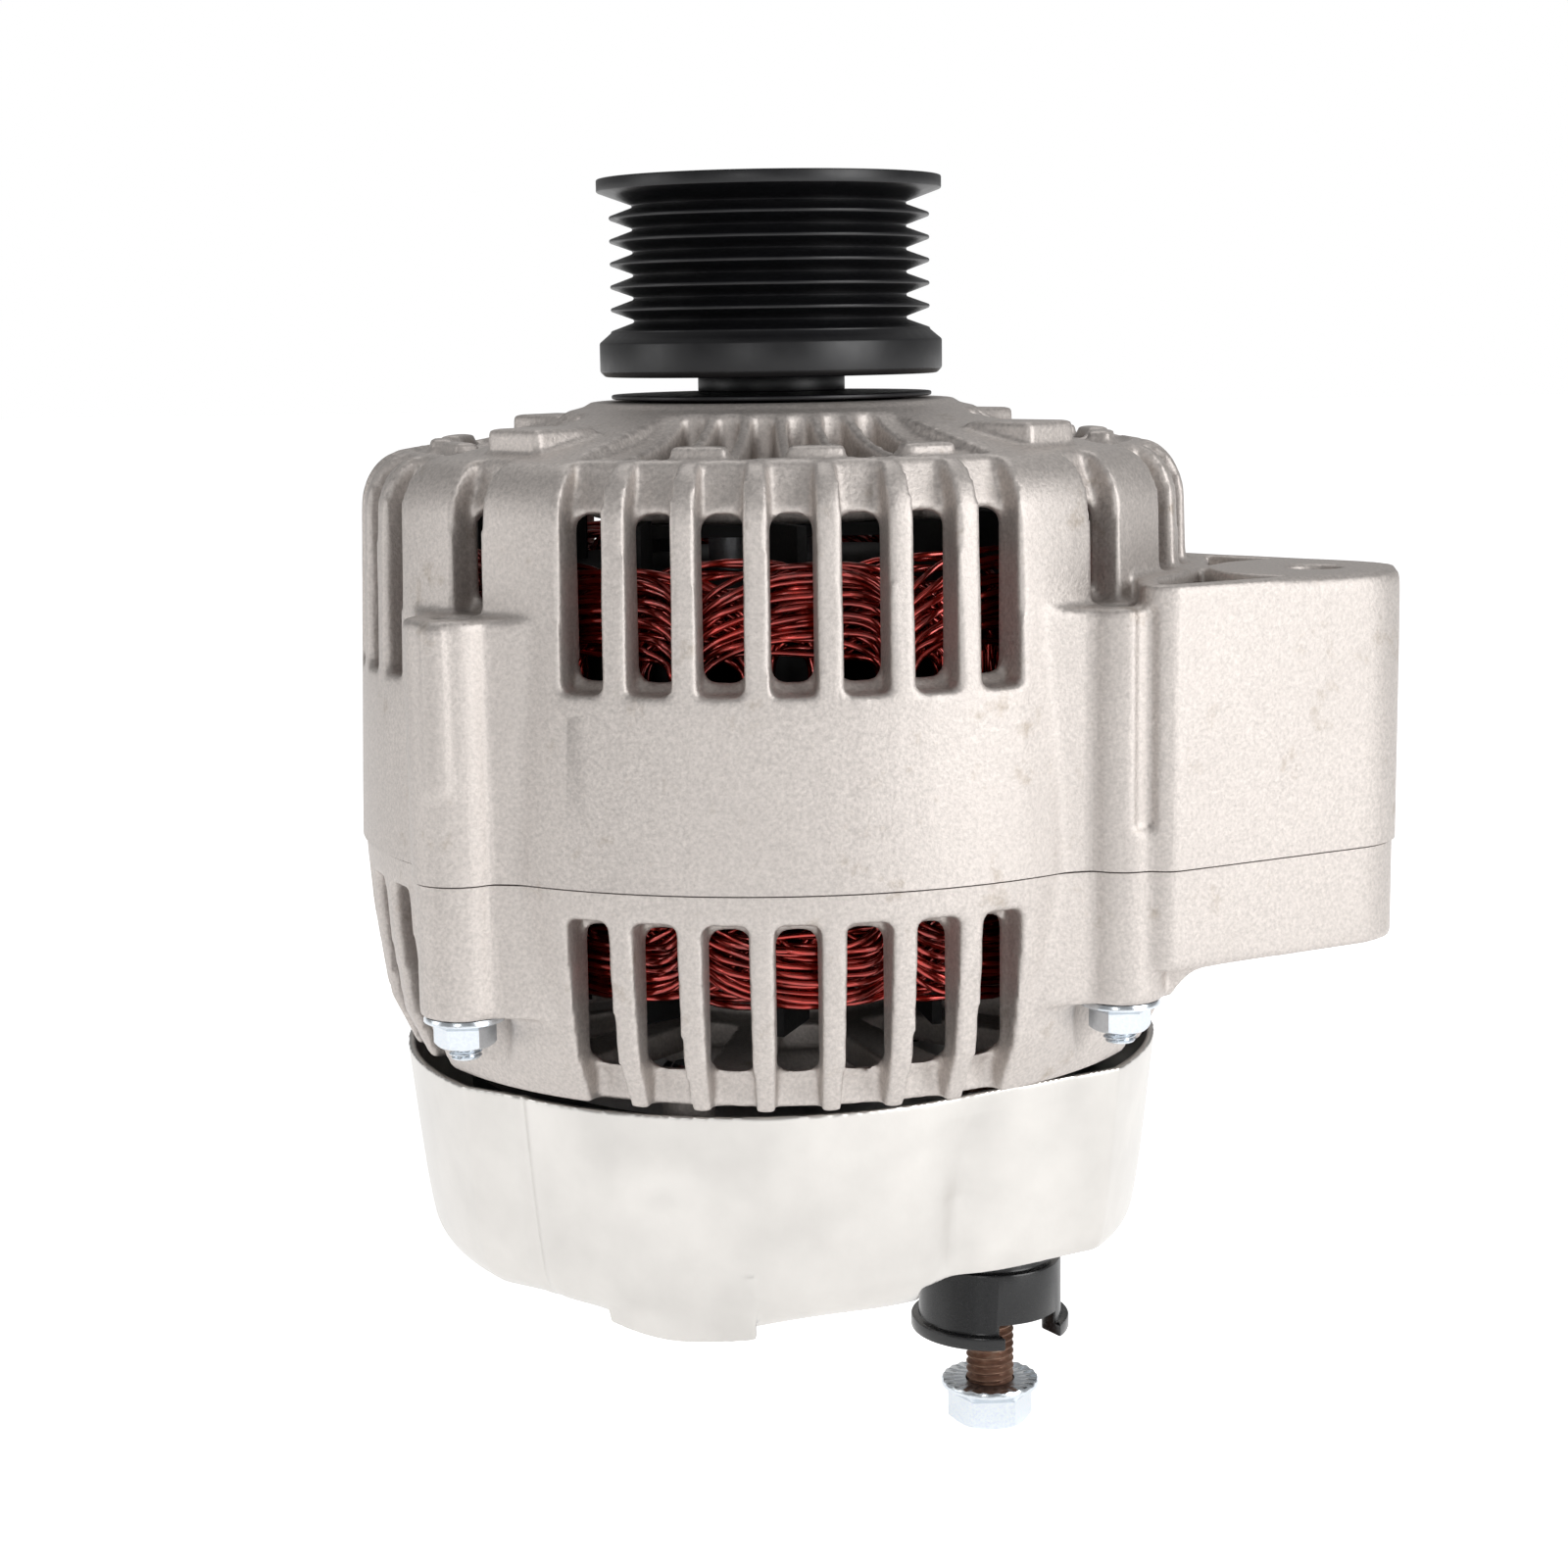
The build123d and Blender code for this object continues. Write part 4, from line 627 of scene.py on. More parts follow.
def plain_metal(name, colour, roughness, grain=0.5 * MM, spread=0.12, metallic=1.0, relief=0.1):
    """A plated, turned or painted metal with a fine mottle in its colour and gloss."""
    made, tree, shader, place = material(name)
    mottle = noise(tree, place, grain, 3.0)
    base = ramp(tree, mottle, [(0.3, shade(colour, 1 - spread)), (0.7, shade(colour, 1 + spread))])
    tree.links.new(base, shader.inputs["Base Color"])
    vary_roughness(tree, shader, mottle, roughness * 0.8, roughness * 1.2)
    shader.inputs["Metallic"].default_value = metallic
    tree.links.new(bump(tree, mottle, relief, 0.08 * MM), shader.inputs["Normal"])
    return made


def enamelled_copper(colour):
    """Copper wire in baked red enamel: a deep clear red over metal, with a wet shine."""
    made, tree, shader, place = material("red enamelled copper wire")
    varnish = noise(tree, place, 5 * MM, 3.0)
    base = ramp(tree, varnish, [(0.3, shade(colour, 0.55)), (0.5, colour), (0.7, shade(colour, 1.6))])
    tree.links.new(base, shader.inputs["Base Color"])
    shader.inputs["Metallic"].default_value = 0.9
    shader.inputs["Roughness"].default_value = 0.24
    shader.inputs["Coat Weight"].default_value = 1.0
    shader.inputs["Coat Roughness"].default_value = 0.12
    shader.inputs["Coat IOR"].default_value = 1.55
    return made


def rusty_steel():
    """Bare steel thread with a thin film of rust in random patches."""
    made, tree, shader, place = material("rusted steel thread")
    patches = noise(tree, place, 2.5 * MM, 3.0)
    base = ramp(tree, patches, [
        (0.35, linear("#77594a")), (0.55, linear("#8d6d5b")), (0.75, linear("#ab9585"))])
    tree.links.new(base, shader.inputs["Base Color"])
    shader.inputs["Metallic"].default_value = 0.55
    shader.inputs["Roughness"].default_value = 0.55
    return made


def paint(piece, made):
    """Give every material slot of a piece one material."""
    mesh = piece.data
    if not mesh.materials:
        mesh.materials.append(made)
    for i in range(len(mesh.materials)):
        mesh.materials[i] = made


def dress(node_name, ending, mesh, body, made):
    """Put a finished mesh in the place of one node, in that node's material slot."""
    piece = new_piece(f"{node_name}_{ending}", mesh, body, node_name)
    paint(piece, made)


# Windings

def coil_head(name, props, span, height, depth, spread, skew, seed):
    """One coil head as open wires: nested arches from one slot, over the core and down into the next one.

    The outer wires of the nest rise highest and stand furthest apart, as they do when a bundle is laid flat.
    depth is the radius and half the distance of the two layers, spread the nest's half width and half rise.
    """
    draw = random.Random(seed)
    curve = bpy.data.curves.new(name, "CURVE")
    curve.dimensions = "3D"
    samples = 26
    for strand in range(props.strands):
        nest = 2 * strand / (props.strands - 1) - 1
        layer = strand % 2 - 0.5
        sway = [draw.uniform(-1, 1) for _ in range(5)]
        spline = curve.splines.new("POLY")
        spline.points.add(samples - 1)
        for i in range(samples):
            t = i / (samples - 1)
            c, s = math.cos(math.pi * t), math.sin(math.pi * t)
            along = -math.copysign(abs(c) ** 0.8, c)
            slow = math.sin(2 * math.pi * (1.2 + 0.4 * sway[0]) * t + 3 * sway[1])
            quick = math.sin(2 * math.pi * (3.4 + 0.8 * sway[2]) * t + 3 * sway[3])
            angle = along * (span / 2 + nest * spread[0]) + skew * s * s
            z = s ** 0.6 * (height + nest * spread[1] + 2 * props.waver * slow)
            radius = depth[0] + 2 * layer * depth[1] + props.waver * (quick + 0.6 * sway[4])
            spline.points[i].co = (radius * math.sin(angle), -radius * math.cos(angle), z, 1)
    return bpy.data.objects.new(name, curve)


def ring_tree():
    """Geometry Nodes that set one coil head again and again round the stator and give its wires thickness."""
    tree = bpy.data.node_groups.new("Ring of coil heads", "GeometryNodeTree")
    face = tree.interface
    face.new_socket("Geometry", in_out="INPUT", socket_type="NodeSocketGeometry")
    for name, kind in (
            ("Coil head", "NodeSocketObject"), ("Count", "NodeSocketInt"), ("Start", "NodeSocketFloat"),
            ("Height", "NodeSocketFloat"), ("Up or down", "NodeSocketFloat"),
            ("Wire radius", "NodeSocketFloat"), ("Seed", "NodeSocketInt"),
            ("Material", "NodeSocketMaterial")):
        face.new_socket(name, in_out="INPUT", socket_type=kind)
    face.new_socket("Geometry", in_out="OUTPUT", socket_type="NodeSocketGeometry")
    given = node(tree, "NodeGroupInput").outputs
    points = node(tree, "GeometryNodeMeshLine", {"Count": given["Count"], "Offset": (0, 0, 0)}, mode="OFFSET")
    index = node(tree, "GeometryNodeInputIndex").outputs["Index"]
    pitch = node(tree, "ShaderNodeMath", {0: 2 * math.pi, 1: given["Count"]}, operation="DIVIDE").outputs[0]
    angle = node(
        tree, "ShaderNodeMath", {0: index, 1: pitch, 2: given["Start"]}, operation="MULTIPLY_ADD").outputs[0]
    shake = node(
        tree, "FunctionNodeRandomValue", {2: -0.012, 3: 0.012, "ID": index, "Seed": given["Seed"]},
        data_type="FLOAT").outputs[1]
    turn = node(tree, "ShaderNodeMath", {0: angle, 1: shake}, operation="ADD").outputs[0]
    turned = node(tree, "ShaderNodeCombineXYZ", {"Z": turn}).outputs[0]
    stretch = node(
        tree, "FunctionNodeRandomValue", {2: 0.86, 3: 1.0, "ID": index, "Seed": given["Seed"]},
        data_type="FLOAT").outputs[1]
    tall = node(tree, "ShaderNodeMath", {0: stretch, 1: given["Up or down"]}, operation="MULTIPLY").outputs[0]
    scale = node(tree, "ShaderNodeCombineXYZ", {"X": 1.0, "Y": 1.0, "Z": tall}).outputs[0]
    head = node(tree, "GeometryNodeObjectInfo", {"Object": given["Coil head"]}).outputs["Geometry"]
    ring = node(tree, "GeometryNodeInstanceOnPoints", {
        "Points": points.outputs["Mesh"], "Instance": head, "Rotation": turned, "Scale": scale})
    wires = node(tree, "GeometryNodeRealizeInstances", {"Geometry": ring.outputs["Instances"]})
    lift = node(tree, "ShaderNodeCombineXYZ", {"Z": given["Height"]}).outputs[0]
    placed = node(tree, "GeometryNodeSetPosition", {"Geometry": wires.outputs["Geometry"], "Offset": lift})
    section = node(tree, "GeometryNodeCurvePrimitiveCircle", {
        "Resolution": 6, "Radius": given["Wire radius"]})
    tube = node(tree, "GeometryNodeCurveToMesh", {
        "Curve": placed.outputs["Geometry"], "Profile Curve": section.outputs["Curve"], "Fill Caps": True})
    smoothed = node(tree, "GeometryNodeSetShadeSmooth", {"Geometry": tube.outputs["Mesh"]})
    real = node(tree, "GeometryNodeRealizeInstances", {"Geometry": smoothed.outputs["Geometry"]})
    finished = node(tree, "GeometryNodeSetMaterial", {
        "Geometry": real.outputs["Geometry"], "Material": given["Material"]})
    output = node(tree, "NodeGroupOutput")
    tree.links.new(finished.outputs["Geometry"], output.inputs["Geometry"])
    return tree


def set_inputs(modifier, tree, values):
    """Set a modifier's inputs by the names of their sockets, through the sockets' identifiers."""
    sockets = {item.name: item.identifier for item in tree.interface.items_tree if item.in_out == "INPUT"}
    for name, value in values.items():
        modifier[sockets[name]] = value


def grown_mesh(name, tree, values):
    """The plain mesh that a Geometry Nodes tree makes from these inputs."""
    def growing(holder):
        modifier = holder.modifiers.new("grown", "NODES")
        modifier.node_group = tree
        set_inputs(modifier, tree, values)
    return evaluated(bpy.data.meshes.new(name), name, growing)


# Operators, one for each piece or group of like pieces

class DressCastings(bpy.types.Operator):
    """Round the cast edges of the two end frames and give them their blasted skin"""
    bl_idname = "alternator.castings"
    bl_label = "Cast end frames"

    def execute(self, context):
        props = context.scene.alternator_castings
        voxel = props.voxel * 1
        skin = blasted_cast_aluminium(props.colour, props.stain, props.grain)
        passes = props.lug_edge

        def lug_edge(places):
            """How far each place belongs to the lug's large near edge, and the passes that round it."""
            start, blend, height = 7.5, 2.5, 7
            ahead = (
                (places[:, 0] - LUG_CENTRE[0]) * LUG_EDGE_WAY[0]
                + (places[:, 1] - LUG_CENTRE[1]) * LUG_EDGE_WAY[1])
            near = np.clip((ahead / MM - start) / blend, 0, 1)
            high_up = np.clip(1 - (LUG_TOP - places[:, 2]) / MM / height + 0.4, 0, 1)
            on_lug = places[:, 0] > 50 * MM
            return near * high_up * on_lug, passes

        forms = (
            ("drive_end_frame", 1, self.deck_blocks() + [self.boss_strip(LEFT_BOSS, -1, 24 * MM)],
             self.deck_scoops(props.scoop) + [self.boss_strip(LUG_BOSS, 1, 33 * MM)], lug_edge),
            ("rear_end_frame", -1, [self.lug_flare()], (), None))
        for node_name, side, added, cut, soft in forms:
            mesh = cast_mesh(node_name, voxel, props.rounding, side, added, cut, soft)
            dress(node_name, "casting", mesh, HOUSING, skin)
        return {"FINISHED"}

    def deck_scoops(self, depth):
        """What the hollow between nose and shoulder takes off the deck's fins, on each of its four sides."""
        rim_r, rim_z = 31.2 * MM, NOSE + 1 * MM
        foot_r, foot_z = 57 * MM, SHOULDER - 0.7 * MM
        dip_z = NOSE - depth
        above = NOSE + 2 * MM
        steps = 12
        outline = []
        for i in range(steps + 1):
            t = i / steps
            dip = (dip_z - rim_z) * (1 - (1 - t) ** 4.5)
            fall = (foot_z - dip_z) * (1 - (1 - t) ** 2.1) * t
            outline.append((rim_r + (foot_r - rim_r) * t ** 1.25, rim_z + dip + fall))
        outline += [(foot_r, above), (rim_r, above)]
        return [
            sector_mesh("scoop", outline, math.pi / 2 * side, math.radians(31), steps=24)
            for side in range(DECK_SIDES)]

    def deck_blocks(self):
        """Blocks that bridge every second window at the shoulder."""
        inner, outer = 50.8 * MM, 54.4 * MM
        bottom, top = DECK_UNDER + 0.5 * MM, SHOULDER + 1.8 * MM
        half_width = 4.2 * MM
        outline = [(inner, bottom), (outer, bottom), (outer, top), (inner, top)]
        return [
            sector_mesh(
                "block", outline, math.pi / 2 * side + place * SLOT_PITCH, half_width / outer, steps=2)
            for side in range(DECK_SIDES) for place in (-1.5, 0.5, 2.5)]

    def boss_strip(self, corner, way, length):
        """A narrow strip down the outside of a stud boss, to stand proud of it or to be cut into it."""
        half_depth, half_width = 0.8 * MM, 1.6 * MM
        top = BOSS_TOP + (0.5 if way > 0 else -1.0) * MM
        outline = [
            (BOSS_R - half_depth, top - length), (BOSS_R + half_depth, top - length),
            (BOSS_R + half_depth, top), (BOSS_R - half_depth, top)]
        return sector_mesh(
            "strip", outline, math.radians(270 + way * 20), half_width / BOSS_R, boss_centre(corner), steps=2)

    def lug_flare(self):
        """Concave flare that carries the lug down into its stud boss."""
        centre = boss_centre(LUG_BOSS)
        radius = 8 * MM
        inside = 1 * MM
        top = LUG_BOTTOM + 1 * MM
        first_turn, last_turn = math.radians(22), math.radians(90)
        steps = 8
        outline = [(inside, BOSS_BOTTOM + 0.3 * MM)]
        for i in range(steps + 1):
            turn = first_turn + (last_turn - first_turn) * i / steps
            outline.append((
                BOSS_R + radius - radius * math.cos(turn), LUG_BOTTOM - radius + radius * math.sin(turn)))
        outline += [(BOSS_R + radius, top), (inside, top)]
        ahead = math.atan2(LUG_CENTRE[1] - centre[1], LUG_CENTRE[0] - centre[0])
        return sector_mesh("flare", outline, ahead, math.radians(42), centre)


class DressWindings(bpy.types.Operator):
    """Wind the stator's coil heads from twisted red enamelled wires"""
    bl_idname = "alternator.windings"
    bl_label = "Stator windings"

    def execute(self, context):
        props = context.scene.alternator_windings
        enamel = enamelled_copper(props.colour)
        tree = ring_tree()
        span = 2 * math.pi / props.heads
        inner, outer = 52.6 * MM, 57.6 * MM
        layer = 0.55 * MM
        skews = (0.05, -0.06, 0.04)
        rises = (0.60, 0.64, 0.66)
        nest_width = math.radians(1.9)
        for end, core_face, tip, way in (
                ("front", CORE_FRONT, high("stator_winding").z, 1),
                ("rear", CORE_BACK, low("stator_winding").z, -1)):
            room = abs(tip - core_face) - props.wire
            meshes = []
            for phase, (skew, rise) in enumerate(zip(skews, rises)):
                radius = outer - 2 * layer - phase * (outer - inner - 3 * layer) / 2
                head = coil_head(
                    f"coil head {end} {phase}", props, span, room * rise, (radius, layer),
                    (nest_width, room * 0.29), skew, 11 + phase)
                meshes.append(grown_mesh("phase", tree, {
                    "Coil head": head, "Count": props.heads, "Start": span * phase / len(skews),
                    "Height": core_face, "Up or down": float(way), "Wire radius": props.wire / 2,
                    "Seed": 5 + phase, "Material": enamel}))
                bpy.data.objects.remove(head)
            new_piece(
                f"{end}_coil_heads", joined(f"{end} coil heads", meshes), HOUSING,
                "stator_winding")
        return {"FINISHED"}


class DressPulley(bpy.types.Operator):
    """Break the turned edges of the pulley, its nut, the collar and the dust slinger"""
    bl_idname = "alternator.pulley"
    bl_label = "Pulley and shaft end"

    def execute(self, context):
        props = context.scene.alternator_pulley
        black = plain_metal(
            "black electrocoated steel", props.colour, 0.38, grain=2 * MM, metallic=0.1, relief=0.03)
        steel = plain_metal("turned steel", linear("#8d8f92"), 0.32)
        skins = (
            ("pulley", "black_painted_steel", black), ("shaft_collar", "machined_steel", black),
            ("dust_slinger", "black_painted_steel", black), ("pulley_nut", "zinc_plated_steel", steel))
        for node_name, slot, skin in skins:
            piece = new_piece(
                node_name + "_turned", edged_mesh(node_name, props.edge), ROTOR, node_name)
            paint(piece, skin)
        return {"FINISHED"}


class DressFasteners(bpy.types.Operator):
    """Cut the threads of the studs and make their flange nuts"""
    bl_idname = "alternator.fasteners"
    bl_label = "Studs and nuts"

    def execute(self, context):
        props = context.scene.alternator_fasteners
        zinc = plain_metal("bright blue zinc plating", props.zinc, 0.24, spread=0.06)
        rust = rusty_steel()
        nut_kinds = (
            ("stud_nuts", STUD_NUT_FLATS, 0.0), ("cover_nuts", STUD_NUT_FLATS, 0.0),
            ("output_nut", TERMINAL_NUT_FLATS, 0.16 * MM))
        for node_name, flats, tooth in nut_kinds:
            nuts = [flange_nut_mesh(node_name, corners, flats, tooth) for corners in solids(node_name)]
            dress(node_name, "chamfered", smooth(joined(node_name, nuts)), HOUSING, zinc)
        stud_kinds = (
            ("through_studs", props.stud_pitch, 8 * MM, False, zinc),
            ("cover_studs", props.stud_pitch, 12 * MM, False, zinc),
            ("output_stud", props.terminal_pitch, 30 * MM, True, rust))
        for node_name, pitch, length, headed, skin in stud_kinds:
            studs = [
                threaded_mesh(node_name, corners, pitch, length, headed) for corners in solids(node_name)]
            dress(node_name, "threaded", smooth(joined(node_name, studs), math.radians(40)), HOUSING, skin)
        nylon = plain_metal(
            "glossy black moulded nylon", linear("#101113"), 0.26, metallic=0.0, spread=0.15)
        dress("output_insulator", "moulded", edged_mesh("output_insulator", 0.35 * MM), HOUSING, nylon)
        return {"FINISHED"}


class DressCover(bpy.types.Operator):
    """Form the pressed rear cover, with its tucked wall and its hollow beside the terminal"""
    bl_idname = "alternator.cover"
    bl_label = "Rear cover"

    def execute(self, context):
        props = context.scene.alternator_cover
        bottom, top = low("rear_cover").z, high("rear_cover").z
        sheet = 1.3 * MM
        wall_top = bottom + 9 * MM
        before_nut = [
            (52.5 * MM, bottom), (52.5 * MM + sheet, bottom), (53.4 * MM + sheet, wall_top),
            (53.4 * MM, wall_top)]
        mesh = joined("rear_cover_sheet", [
            merged_mesh("rear_cover"),
            sector_mesh("wall before the nut", before_nut, math.radians(250), math.radians(13))])

        def rounding(holder):
            remesh = holder.modifiers.new("sheet", "REMESH")
            remesh.mode = "VOXEL"
            remesh.voxel_size = 0.45 * MM
            soften = holder.modifiers.new("pressed edges", "SMOOTH")
            soften.factor = 0.5
            soften.iterations = 5

        made = evaluated(mesh, "rear_cover_formed", rounding)
        places = vertex_array(made)
        radius = np.hypot(places[:, 0], places[:, 1])
        angle = np.degrees(np.arctan2(places[:, 1], places[:, 0]))
        depth = np.clip((top - places[:, 2]) / (top - bottom), 0, 1)
        outside = np.clip((radius - 34 * MM) / (22 * MM), 0, 1) ** 2

        def bowl(middle, width):
            """A hollow about an angle of the wall, in degrees."""
            return np.exp(-((angle - middle) / width) ** 2)

        def below(start, end):
            """Nothing above one share of the cover's height, and full below another."""
            return np.clip((depth - start) / (end - start), 0, 1)

        # The dent beside the terminal, the hollows round the nearest nut and one sharp crease
        wall = below(0.1, 0.5)
        hollows = (
            props.dent * bowl(-60, 5.5) * wall
            + 1.5 * MM * bowl(-105, 6) * below(0.2, 0.8)
            + 1.3 * MM * bowl(-111, 5) * np.exp(-((depth - 0.3) / 0.16) ** 2)
            + 0.9 * MM * (bowl(-126, 5) + bowl(-82, 9)) * wall
            + 0.5 * MM * bowl(-134.6, 1.1))
        inward = outside * (props.tuck * depth ** 5 + hollows)
        shrink = 1 - inward / np.maximum(radius, 1 * MM)
        places[:, 0] *= shrink
        places[:, 1] *= shrink
        rim = np.clip((radius - 46 * MM) / (5 * MM), 0, 1) * below(0.6, 1.0)
        places[:, 2] -= props.skirt * rim * bowl(-108, 15)
        made.vertices.foreach_set("co", places.ravel())
        count = sum(len(face.vertices) - 2 for face in made.polygons)

        def thinning(holder):
            holder.modifiers.new("fewer faces", "DECIMATE").ratio = min(1.0, 180000 / count)

        finished = smooth(evaluated(made, "rear_cover_formed", thinning), math.radians(50))
        dress("rear_cover", "formed", finished, HOUSING, pressed_aluminium(props.colour))
        return {"FINISHED"}


class DressInsides(bpy.types.Operator):
    """Finish the pieces of the frame that show as they are, and colour the pieces deep inside near black as
    painted shade
    """
    bl_idname = "alternator.insides"
    bl_label = "Frame pieces"

    def execute(self, context):
        finishes = {
            "cast_aluminium": plain_metal("machined cast aluminium", linear("#b9b6b2"), 0.4),
            "sheet_aluminium": pressed_aluminium(context.scene.alternator_cover.colour),
            "plain_aluminium": plain_metal("plain aluminium plate", linear("#c3c4c6"), 0.35),
            "black_painted_steel": plain_metal(
                "black painted steel", linear("#08090a"), 0.75, metallic=0.0, spread=0.25),
            "zinc_plated_steel": plain_metal("blue zinc plated steel", linear("#b3bbc2"), 0.25),
            "machined_steel": plain_metal("machined steel", linear("#8d8f92"), 0.3),
            "bearing_steel": plain_metal("ground bearing steel", linear("#b5b7ba"), 0.15),
            "laminated_steel": plain_metal("varnished steel laminations", linear("#2d2a2a"), 0.5),
            "forged_steel": plain_metal("forged steel poles", linear("#26272a"), 0.5),
            "red_enamelled_copper": enamelled_copper(linear("#8e1e14")),
            "copper": plain_metal("drawn copper", linear("#b8734b"), 0.3),
            "carbon": plain_metal("copper graphite brush", linear("#3a3634"), 0.55, metallic=0.3),
            "black_plastic": plain_metal(
                "moulded black nylon", linear("#17181a"), 0.45, metallic=0.0, spread=0.2),
            "seal_rubber": plain_metal("black seal rubber", linear("#1c1c1d"), 0.6, metallic=0.0),
            "nylon": plain_metal("natural nylon cage", linear("#3b2f27"), 0.5, metallic=0.0),
        }
        # Painted shade: the bearing retainer, its screws, the rotor core and the claw poles sit deep inside
        # the frame. They are coloured near black in place of their own finishes, to stand for the shade
        # there.
        painted_shade_black = plain_metal("black phosphated steel", linear("#0c0c0d"), 0.6, metallic=0.2, spread=0.2)
        painted_shade_nodes = ("bearing_retainer", "retainer_screws", "rotor_core", "claw_pole_front", "claw_pole_rear")
        for item in frame["record"]["subparts"]:
            piece = frame["nodes"][item["node"]]
            paint(piece, painted_shade_black if item["node"] in painted_shade_nodes else finishes[item["material_slot"]])
            smooth(piece.data)
        return {"FINISHED"}


class DressSprings(bpy.types.Operator):
    """Make the two brush springs as fixed copies on the housing. Real ones shorten as their brushes move
    back.
    """
    bl_idname = "alternator.springs"
    bl_label = "Brush springs"

    def execute(self, context):
        wire = plain_metal("spring steel", linear("#8d8f92"), 0.3)
        for side in ("inner", "outer"):
            node_name = f"brush_spring_{side}"
            spring = new_piece(
                f"{side}_spring_sliding", merged_mesh(node_name), HOUSING, node_name)
            paint(spring, wire)
            smooth(spring.data)
            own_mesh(spring)
        return {"FINISHED"}


class SetStage(bpy.types.Operator):
    """Make the camera, the floor and the lamps"""
    bl_idname = "alternator.stage"
    bl_label = "Camera, floor and lamps"

    def execute(self, context):
        props = context.scene.alternator_stage
        self.camera(context, props)
        self.floor(props)
        self.lamps(context)
        context.scene.view_settings.view_transform = "Standard"
        return {"FINISHED"}

    def camera(self, context, props):
        lens = bpy.data.cameras.new("camera")
        lens.sensor_width = 36
        lens.lens = props.focal
        lens.clip_start = 10 * MM
        lens.clip_end = 20
        camera = bpy.data.objects.new("camera", lens)
        context.scene.collection.objects.link(camera)
        ahead = Vector((
            -math.sin(props.azimuth) * math.cos(props.pitch),
            math.cos(props.azimuth) * math.cos(props.pitch),
            -math.sin(props.pitch)))
        turned = ahead.to_track_quat("-Z", "Y").to_matrix() @ Matrix.Rotation(props.roll, 3, "Z")
        camera.matrix_world = Matrix.Translation(props.camera_place) @ turned.to_4x4()
        context.scene.camera = camera

    def floor(self, props):
        ground = CAD_BOX[0].z - 0.2 * MM
        half_width = 6.0
        mesh = bpy.data.meshes.new("floor")
        mesh.from_pydata(
            [(-half_width, -half_width, ground), (half_width, -half_width, ground),
             (half_width, half_width, ground), (-half_width, half_width, ground)], [], [(0, 1, 2, 3)])
        piece = bpy.data.objects.new("floor", mesh)
        bpy.context.scene.collection.objects.link(piece)
        made, tree, shader, place = material("matt white floor")
        shader.inputs["Base Color"].default_value = props.floor_colour
        shader.inputs["Roughness"].default_value = 0.9
        glow = node(tree, "ShaderNodeEmission", {"Color": grey(1.0), "Strength": 0.82})
        both = node(tree, "ShaderNodeAddShader", {0: shader.outputs["BSDF"], 1: glow.outputs["Emission"]})
        path = node(tree, "ShaderNodeLightPath")
        seen = node(tree, "ShaderNodeMath", {
            0: path.outputs["Is Camera Ray"], 1: path.outputs["Is Glossy Ray"]}, operation="MAXIMUM")
        mixed = node(tree, "ShaderNodeMixShader", {
            0: seen.outputs[0], 1: shader.outputs["BSDF"], 2: both.outputs["Shader"]})
        output = next(item for item in tree.nodes if item.type == "OUTPUT_MATERIAL")
        tree.links.new(mixed.outputs["Shader"], output.inputs["Surface"])
        mesh.materials.append(made)

    def lamps(self, context):
        world = bpy.data.worlds.new("white studio")
        world.use_nodes = True
        tree = world.node_tree
        tree.nodes.clear()
        path = node(tree, "ShaderNodeLightPath")
        seen = node(tree, "ShaderNodeMath", {
            0: path.outputs["Is Camera Ray"], 1: path.outputs["Is Transmission Ray"]}, operation="MAXIMUM")
        strength = node(tree, "ShaderNodeMapRange", {
            "Value": seen.outputs[0], "To Min": 0.32, "To Max": 1.0})
        sky = node(tree, "ShaderNodeBackground", {
            "Color": grey(1.0), "Strength": strength.outputs["Result"]})
        output = node(tree, "ShaderNodeOutputWorld")
        tree.links.new(sky.outputs["Background"], output.inputs["Surface"])
        context.scene.world = world
        middle = Vector((0, 0, -90 * MM))
        # Each lamp's place and size in metres, and its power in watts
        for name, place, size, power in (
                ("key softbox", (0.75, -0.6, 0.2), 0.6, 5.5),
                ("left softbox", (-0.9, -0.1, 0.1), 0.4, 1.0),
                ("top softbox", (0.0, 0.3, 0.8), 0.6, 1.5),
                ("front softbox", (-0.3, -0.9, 0.12), 0.2, 0.7),
                ("low softbox", (0.15, -0.85, -0.3), 0.5, 0.5)):
            lamp = bpy.data.lights.new(name, "AREA")
            lamp.energy = power
            lamp.size = size
            placed = bpy.data.objects.new(name, lamp)
            context.scene.collection.objects.link(placed)
            aim = (middle - Vector(place)).to_track_quat("-Z", "Y")
            placed.matrix_world = Matrix.Translation(place) @ aim.to_matrix().to_4x4()


class AlternatorPanel(bpy.types.Panel):
    """Lists the alternator's pieces, sizes and colours"""
    bl_label = "Alternator"
    bl_idname = "VIEW3D_PT_alternator"
    bl_space_type = "VIEW_3D"
    bl_region_type = "UI"
    bl_category = "Alternator"

    def draw(self, context):
        for operator in OPERATORS:
            self.layout.operator(operator.bl_idname)
        for group_name in GROUPS:
            box = self.layout.box()
            group = getattr(context.scene, group_name)
            for field in group.__annotations__:
                box.prop(group, field)


GROUPS = {
    "alternator_castings": AlternatorCastings,
    "alternator_windings": AlternatorWindings,
    "alternator_pulley": AlternatorPulley,
    "alternator_fasteners": AlternatorFasteners,
    "alternator_cover": AlternatorCover,
    "alternator_stage": AlternatorStage,
}
OPERATORS = (
    DressInsides, DressCastings, DressWindings, DressPulley, DressFasteners, DressCover, DressSprings,
    SetStage)


def register():
    for group_name, group in GROUPS.items():
        bpy.utils.register_class(group)
        setattr(bpy.types.Scene, group_name, PointerProperty(type=group))
    for item in OPERATORS + (AlternatorPanel,):
        bpy.utils.register_class(item)


def unregister():
    for item in reversed(OPERATORS + (AlternatorPanel,)):
        bpy.utils.unregister_class(item)
    for group_name, group in reversed(GROUPS.items()):
        delattr(bpy.types.Scene, group_name)
        bpy.utils.unregister_class(group)


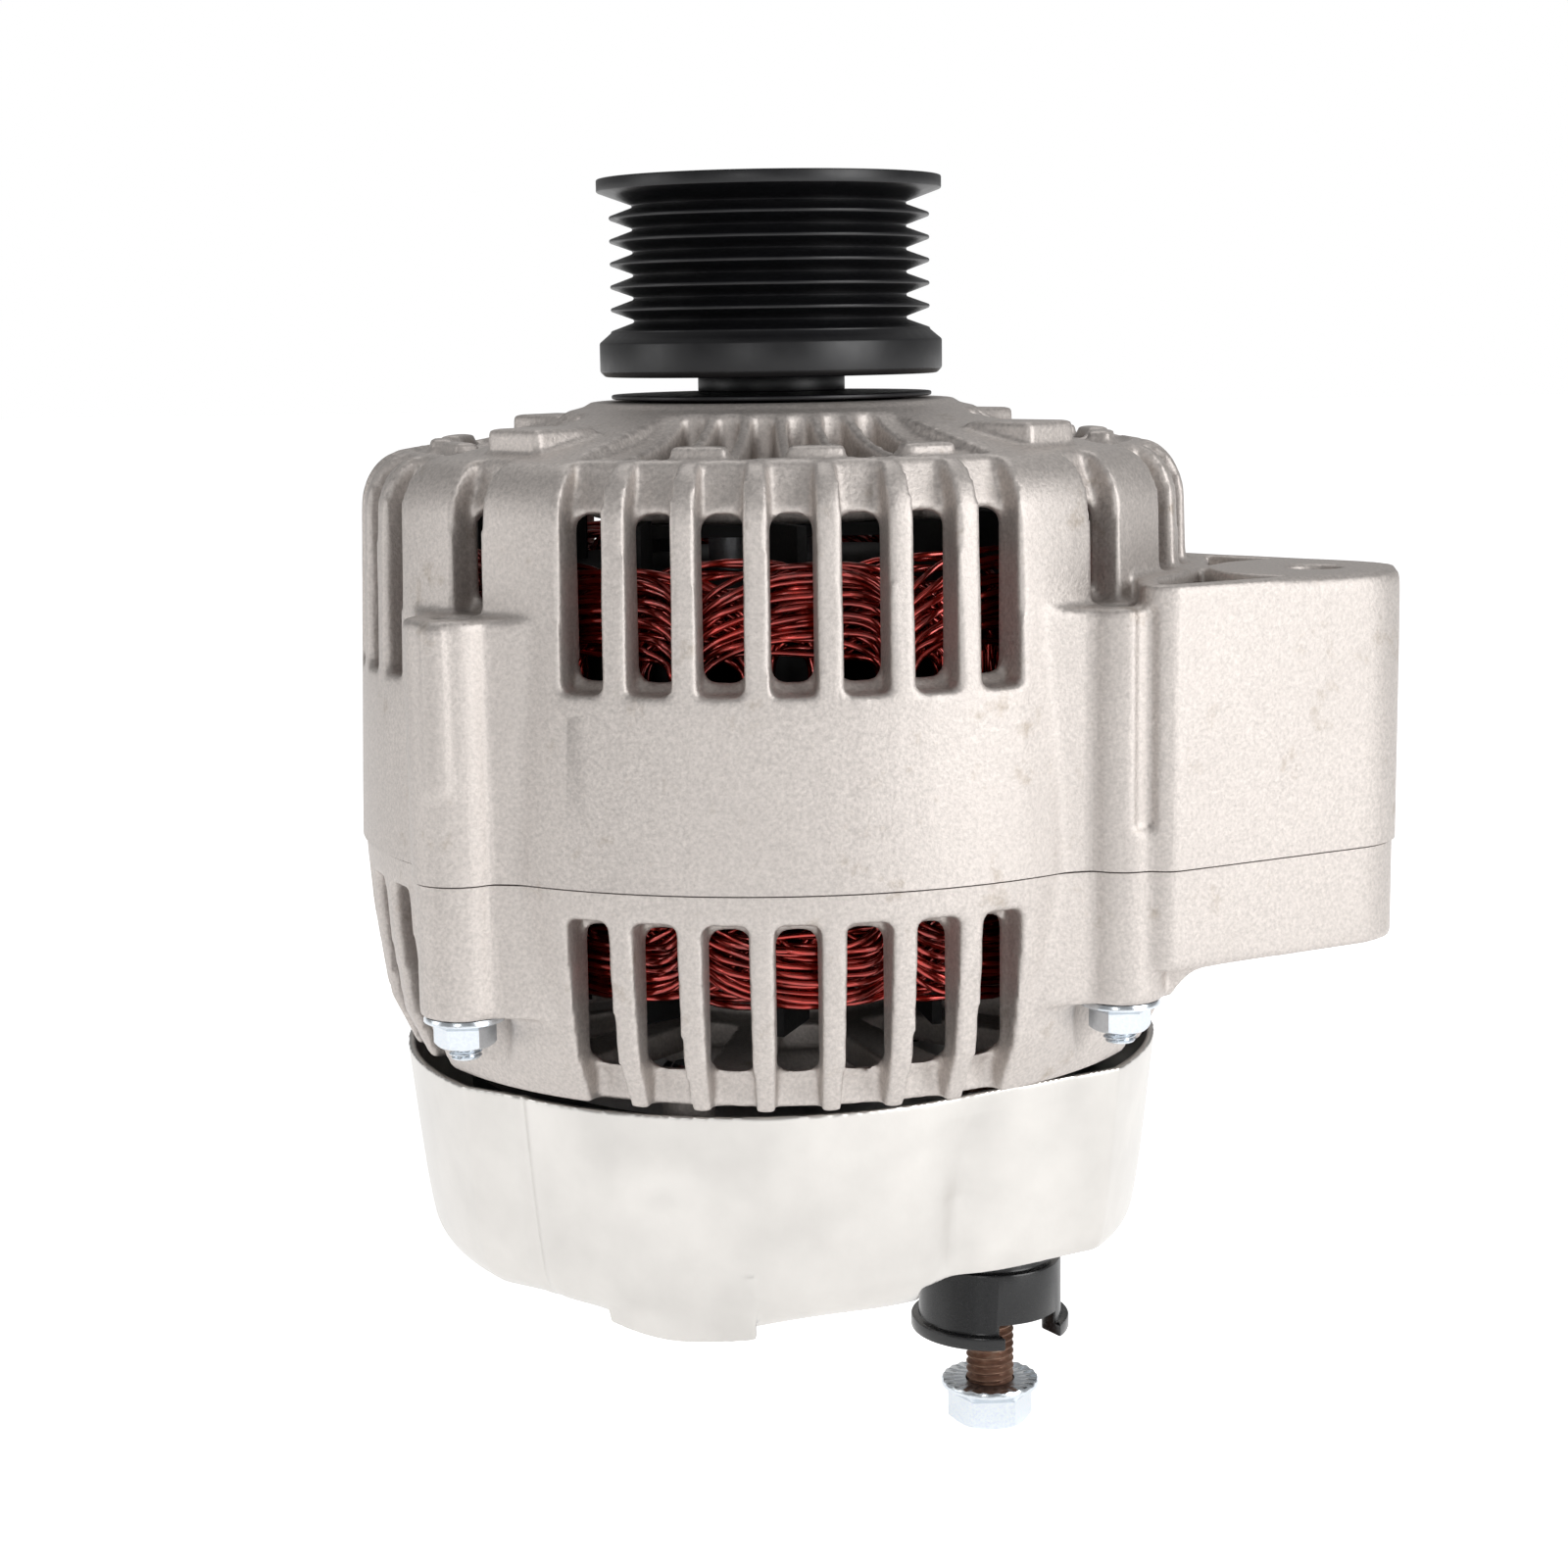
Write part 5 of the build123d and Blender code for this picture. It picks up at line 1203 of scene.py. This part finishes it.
def main():
    register()
    bpy.ops.alternator.insides()
    bpy.ops.alternator.castings()
    bpy.ops.alternator.windings()
    bpy.ops.alternator.pulley()
    bpy.ops.alternator.fasteners()
    bpy.ops.alternator.cover()
    bpy.ops.alternator.springs()
    bpy.ops.alternator.stage()


if __name__ == "__main__":
    main()
